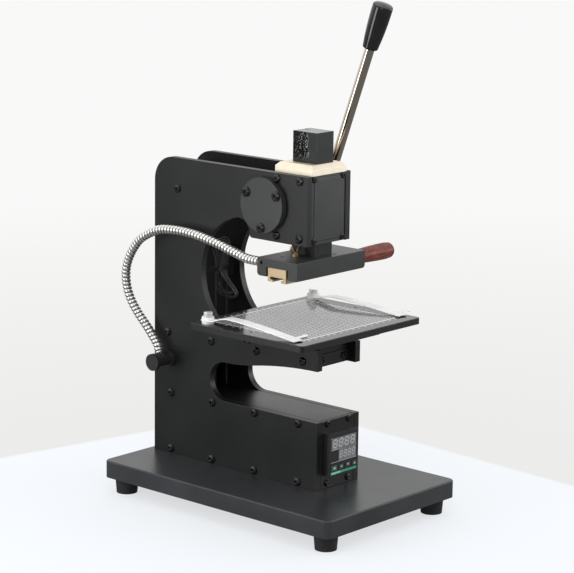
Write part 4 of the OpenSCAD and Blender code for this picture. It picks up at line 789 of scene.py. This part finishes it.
def strip_surface(side, c, rise):
    """Two strips share this shape: Y runs from the clamped end to the front, Z bows up by the
    rise and comes down again, and the front end turns right into a tab with an eyelet."""
    x, w = side * c.apart, c.width / 2
    screw_y, level, screw_hole, clamp_reach = 0.027, 0.2215, 0.0023, 0.0075
    start, end = screw_y - clamp_reach, c.front - 0.0075
    along, across, around, rings = 49, 9, 96, 5
    u = np.linspace(0, 1, along)
    y = start - (start - end) * u**1.25
    bow = np.where(u < 0.3, (1 - np.cos(pi * u / 0.3)) / 2,
                   np.cos(pi / 2 * (u - 0.3) / 0.7).clip(0, 1)**1.1)
    z = level + rise * bow - 0.0022 * u**2.2
    v = np.linspace(-1, 1, across)
    # The ribbon is a little crowned across: its edges hang 0.25 mm below its middle in the bow.
    crown = 0.00025 * bow[:, None] * v**2
    ribbon = points(x + w * v, y[:, None], z[:, None] - crown)
    # The clamped end is a ring: its inner edge the screw's hole, its outer edge a rounded square.
    t = np.arange(around) * 2 * pi / around
    reach = 1 / np.maximum(np.abs(np.cos(t)), np.abs(np.sin(t)))
    reach = np.minimum(reach, np.where(np.sin(t) > 0, 1.18, 9.0))
    s = np.linspace(0, 1, rings)[:, None]
    r = screw_hole * (1 - s) + w * reach * s
    squash = 1 + (np.where(np.sin(t) < 0, clamp_reach / w, 1.0) - 1) * s
    ring = points(x + r * np.cos(t), screw_y + r * np.sin(t) * squash, level)
    # The tab runs from the ribbon's side to the eyelet, narrowing: half width 3.5 to 2.2 mm.
    tab_long, tab_wide = 13, 5
    k = np.linspace(0, 1, tab_long)[:, None]
    eye_x, eye_y, eye_z = x + 0.0235, c.front + 0.0035, z[-1]
    tab_start, tab_end = x + w * 0.9, eye_x - 0.0022
    half = 0.0035 - 0.0013 * np.sin(pi / 2 * k)
    tab = points(tab_start + (tab_end - tab_start) * k,
                 eye_y + half * np.linspace(-1, 1, tab_wide), eye_z)
    # The eyelet is a rolled ring: a circle of radius thick carried round one of radius far.
    thick, far, eye_sides, roll_sides = 0.00085, 0.00235, 40, 16
    e = np.arange(eye_sides)[:, None] * 2 * pi / eye_sides
    q = np.arange(roll_sides) * 2 * pi / roll_sides
    out = far + thick * np.cos(q)
    roll = points(eye_x + out * np.cos(e), eye_y + out * np.sin(e),
                  eye_z + 0.0006 + thick * np.sin(q))
    roll = np.vstack([roll, roll[:roll_sides]])
    sheet = join_parts([(ribbon, grid_faces(along, across, False)),
                        (ring, grid_faces(rings, around, True)),
                        (tab, grid_faces(tab_long, tab_wide, False))])
    return sheet, (roll, grid_faces(eye_sides + 1, roll_sides, True))


class PRESS_OT_strips(bpy.types.Operator):
    """Makes the two bowed hold-down strips with their eyelets"""
    bl_idname = "press.strips"
    bl_label = "Hold-down strips"

    def execute(self, context):
        c = context.scene.press_strips
        for name, side, rise in (("left", -1, c.left_rise), ("right", 1, c.right_rise)):
            sheet, roll = strip_surface(side, c, rise)
            strip = make_piece(f"{name}_strip", *sheet, finish("white_strip"), merge=0.00001)
            normals = np.zeros(len(strip.data.polygons) * 3)
            strip.data.polygons.foreach_get("normal", normals)
            if normals[2::3].mean() < 0:
                strip.data.flip_normals()
            wall = strip.modifiers.new("wall", "SOLIDIFY")
            wall.thickness = c.thick
            wall.offset = 1.0
            rim = strip.modifiers.new("rim", "BEVEL")
            rim.width = 0.00018
            rim.segments = 2
            eyelet = make_piece(f"{name}_eyelet", *roll, finish("white_strip"), merge=0.000001)
            for piece in (strip, eyelet):
                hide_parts("hold_down_strips")
                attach(piece, "table")
        return {"FINISHED"}


def eight(cx, cz, height, width, thick):
    """Seven bars of a figure 8: each is a six-sided bar whose pointed ends meet its neighbours.
    All lean to the right by a tenth of their height."""
    h, w = height / 2, width / 2
    gap = thick * 0.12
    ends = [((-w, h), (w, h)), ((-w, 0), (w, 0)), ((-w, -h), (w, -h)),
            ((-w, 0), (-w, h)), ((w, 0), (w, h)), ((-w, -h), (-w, 0)), ((w, -h), (w, 0))]
    bars = []
    for a, b in ends:
        a, b = row(*a), row(*b)
        d = (b - a) / np.linalg.norm(b - a)
        side = row(-d[1], d[0]) * thick / 2
        a, b = a + d * gap, b - d * gap
        k = d * thick / 2
        o = np.array([a, a + k - side, b - k - side, b, b - k + side, a + k + side])
        o[:, 0] += 0.1 * o[:, 1]
        bars.append(o + row(cx, cz))
    return bars


class PRESS_OT_face(bpy.types.Operator):
    """Makes the controller's digits, lines, key marks and green stripe"""
    bl_idname = "press.face"
    bl_label = "Controller face"

    def execute(self, context):
        c = context.scene.press_face
        # The faces along Y that the marks lie on.
        glass, bezel, key = -0.0973, -0.0975, -0.0982
        # Each row of digits: its middle along Z, a digit's height and the width between its
        # upright bars, a bar's thickness, and the digits' middles along X.
        rows = ((0.0902, c.digit, 0.0060, 0.0018, (-0.0148, -0.0049, 0.0050, 0.0149)),
                (0.0765, c.small_digit, 0.0042, 0.0013, (-0.0044, 0.0026, 0.0096, 0.0166)))
        digits = [bar for z, tall, wide, thick, places in rows for x in places
                  for bar in eight(x, z, tall - thick, wide, thick)]
        pale = printed_ink("unlit_digits", c.digit_colour)
        self.mark("display_digits", digits, glass, pale, "frame", "display")
        lines = [round_bar(-0.0213, -0.0092, 0.08315, 0.08375, 0.0002),
                 round_bar(-0.0213, 0.0213, 0.0690, 0.06955, 0.0002),
                 round_bar(-0.0213, -0.0203, 0.0966, 0.0972, 0.0002),
                 round_bar(0.0204, 0.0214, 0.0838, 0.0844, 0.0002)]
        self.mark("window_lines", lines, bezel, printed_ink("pale_line_ink", grey(0.45)),
                  "frame", "display")
        stripe = [round_bar(-0.0214, 0.0214, 0.0556, 0.0581, 0.0004)]
        # The stripe's pale left end is a painted highlight.
        green = printed_ink("green_ink", c.stripe_colour, (0.22, 0.62, 0.45))
        self.mark("green_stripe", stripe, bezel, green, "frame", "keys", 0.00015)
        ink = printed_ink("key_ink", (0.42, 0.44, 0.43))
        t = np.linspace(0, 2 * pi, 17)[:-1]
        marks = {
            "set": [np.stack([-0.0163 + 0.0018 * np.cos(t), 0.06275 + 0.0014 * np.sin(t)], 1)],
            "shift": [row(-0.0064, 0.06275, -0.0032, 0.06455, -0.0032, 0.06095).reshape(3, 2)],
            "down": [row(0.0067, 0.0612, 0.0087, 0.0643, 0.0047, 0.0643).reshape(3, 2)],
            "up": [row(0.0180, 0.0643, 0.0160, 0.0612, 0.0200, 0.0612).reshape(3, 2)],
        }
        for body, outlines in marks.items():
            self.mark(f"{body}_key_mark", outlines, key, ink, body, "keys")
        return {"FINISHED"}

    def mark(self, name, outlines, y, material, body, slot, proud=0.00012):
        """Flat marks that stand proud of the face at y and reach 0.1 mm into it."""
        verts, faces = join_parts([slab(o, y - proud, y + 0.0001) for o in outlines])
        piece = make_piece(name, verts, faces, material, smooth=False, merge=0.0000001)
        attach(piece, body)


class PRESS_OT_finishes(bpy.types.Operator):
    """Gives every CAD node its finish"""
    bl_idname = "press.finishes"
    bl_label = "Finishes"

    def execute(self, context):
        told = {n: name for name, nodes in NODE_FINISHES.items() for n in nodes.split()}
        missing = sorted(set(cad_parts) - set(told))
        if missing:
            raise RuntimeError(f"no finish for {missing}")
        for node, name in told.items():
            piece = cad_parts[node]
            material = finish(name)
            for slot in piece.material_slots:
                slot.material = material
        return {"FINISHED"}


# Each lamp: its name, place and the height that it aims at, its sides, and its power's setting.
LAMPS = (("key_lamp", (-1.35, -1.15, 1.25), 0.3, (0.45, 1.5), "key"),
         ("side_lamp", (-1.05, 0.42, 0.34), 0.36, (0.36, 0.75), "side"),
         ("fill_lamp", (1.25, -1.0, 0.6), 0.35, (0.6, 0.8), "fill"),
         ("top_lamp", (0.3, 0.6, 2.4), 0.25, (2.0, 1.4), "fill"))


class PRESS_OT_stage(bpy.types.Operator):
    """Makes the pale floor, the even sky and the soft lamps"""
    bl_idname = "press.stage"
    bl_label = "Stage"

    def execute(self, context):
        c = context.scene.press_stage
        self.lay_floor(c)
        self.make_sky(context, c)
        for name, place, aim, sides, power in LAMPS:
            self.hang_lamp(context, name, place, aim, sides, getattr(c, power))
        context.scene.view_settings.view_transform = "Standard"
        return {"FINISHED"}

    def lay_floor(self, c):
        """A disc just below Z = 0, with rings at the radius 14 s cubed."""
        rings, sides = 30, 64
        r = 14 * np.linspace(0.02, 1, rings)[:, None]**3
        t = np.arange(sides) * 2 * pi / sides
        verts = points(r * np.cos(t), r * np.sin(t), -0.0002)
        faces = [tuple(reversed(f)) for f in grid_faces(rings, sides, True)]
        faces.append(tuple(range(sides)))
        f = Finish("pale_floor")
        away = f.add("ShaderNodeVectorMath", {0: f.place}, operation="LENGTH").outputs["Value"]
        # The near floor ends behind and to the right of the machine, at two straight lines.
        behind = f.between(f.dot(f.place, (0.194, 0.981, 0.0)), 0.328, 0.336)
        right = f.between(f.dot(f.place, (0.997, -0.078, 0.0)), 0.297, 0.305)
        far = f.most(behind, right)
        lit = f.add("ShaderNodeBsdfPrincipled", {
            "Base Color": f.varied(f.noise(2.5), c.floor, 0.985, 1.0), "Roughness": 0.6,
            "Specular IOR Level": 0.2})
        wall = f.blend(f.between(away, 0.4, 2.0), c.horizon, c.backdrop)
        plain = f.add("ShaderNodeEmission", {"Color": f.blend(far, c.near, wall)})
        # Polished faces see the floor as in a small studio: dim near the machine, pale beyond.
        dim = f.between(away, 1.2, 3.0, 0.2, 0.45)
        dull = f.add("ShaderNodeEmission", {"Color": c.backdrop, "Strength": dim})
        ray = f.add("ShaderNodeLightPath").outputs
        share = f.times(f.between(far, 0.0, 1.0, c.plain, 1.0), ray["Is Camera Ray"])
        mix = f.blend_shaders(share, lit, plain)
        mix = f.blend_shaders(ray["Is Glossy Ray"], mix, dull)
        f.add("ShaderNodeOutputMaterial", {0: mix.outputs[0]})
        floor = make_piece("floor", verts, faces, f.material, smooth=False)

    def make_sky(self, context, c):
        """Plain backdrop for the camera, even light for matt surfaces, and for polished ones a
        room that is pale behind the machine and above and dim on the camera's side: 0.10 + 0.90
        smooth of the direction's part along (0.75, 0.66, 0) plus 0.8 of its height."""
        world = bpy.data.worlds.new("studio_sky")
        world.use_nodes = True
        n = Nodes(world.node_tree)
        way = n.add("ShaderNodeTexCoord").outputs["Generated"]
        room = n.add("ShaderNodeMapRange", {0: n.dot(way, (0.749, 0.663, 0.8)), 1: -0.45,
                                            2: 0.25, 3: 0.10, 4: 1.0},
                     interpolation_type="SMOOTHSTEP").outputs[0]
        light = n.add("ShaderNodeBackground", {"Color": grey(1.0), "Strength": c.sky})
        seen = n.add("ShaderNodeBackground", {"Color": c.backdrop, "Strength": room})
        plain = n.add("ShaderNodeBackground", {"Color": c.backdrop, "Strength": 1.0})
        ray = n.add("ShaderNodeLightPath").outputs
        mix = n.blend_shaders(ray["Is Glossy Ray"], light, seen)
        mix = n.blend_shaders(ray["Is Camera Ray"], mix, plain)
        n.add("ShaderNodeOutputWorld", {0: mix.outputs[0]})
        context.scene.world = world

    def hang_lamp(self, context, name, place, aim, sides, power):
        data = bpy.data.lights.new(name, "AREA")
        data.shape = "RECTANGLE"
        data.size, data.size_y = sides
        data.energy = power
        lamp = bpy.data.objects.new(name, data)
        lamp.location = place
        lamp.visible_camera = False
        toward = Vector((0, 0, aim)) - Vector(place)
        lamp.rotation_euler = toward.to_track_quat("-Z", "Y").to_euler()
        context.scene.collection.objects.link(lamp)


SETTINGS = (("press_camera", CameraSettings), ("press_hose", HoseSettings),
            ("press_lead", LeadSettings), ("press_strips", StripSettings),
            ("press_face", FaceSettings), ("press_coats", CoatSettings),
            ("press_stage", StageSettings))
STEPS = (PRESS_OT_camera, PRESS_OT_hose, PRESS_OT_lead, PRESS_OT_strips, PRESS_OT_face,
         PRESS_OT_finishes, PRESS_OT_stage)


class PRESS_PT_panel(bpy.types.Panel):
    """Lists the steps and their sizes and colours"""
    bl_idname = "PRESS_PT_panel"
    bl_label = "Foil press"
    bl_space_type = "VIEW_3D"
    bl_region_type = "UI"
    bl_category = "Foil press"

    def draw(self, context):
        for step in STEPS:
            self.layout.operator(step.bl_idname)
        for name, group in SETTINGS:
            box = self.layout.box()
            box.label(text=group.__name__)
            for key in group.__annotations__:
                box.prop(getattr(context.scene, name), key)


def register():
    for name, group in SETTINGS:
        bpy.utils.register_class(group)
        setattr(bpy.types.Scene, name, PointerProperty(type=group))
    for step in STEPS:
        bpy.utils.register_class(step)
    bpy.utils.register_class(PRESS_PT_panel)


def unregister():
    bpy.utils.unregister_class(PRESS_PT_panel)
    for step in reversed(STEPS):
        bpy.utils.unregister_class(step)
    for name, group in reversed(SETTINGS):
        delattr(bpy.types.Scene, name)
        bpy.utils.unregister_class(group)


def main():
    register()
    for step in STEPS:
        group, name = step.bl_idname.split(".")
        getattr(getattr(bpy.ops, group), name)()
    bpy.context.view_layer.update()


if __name__ == "__main__":
    main()
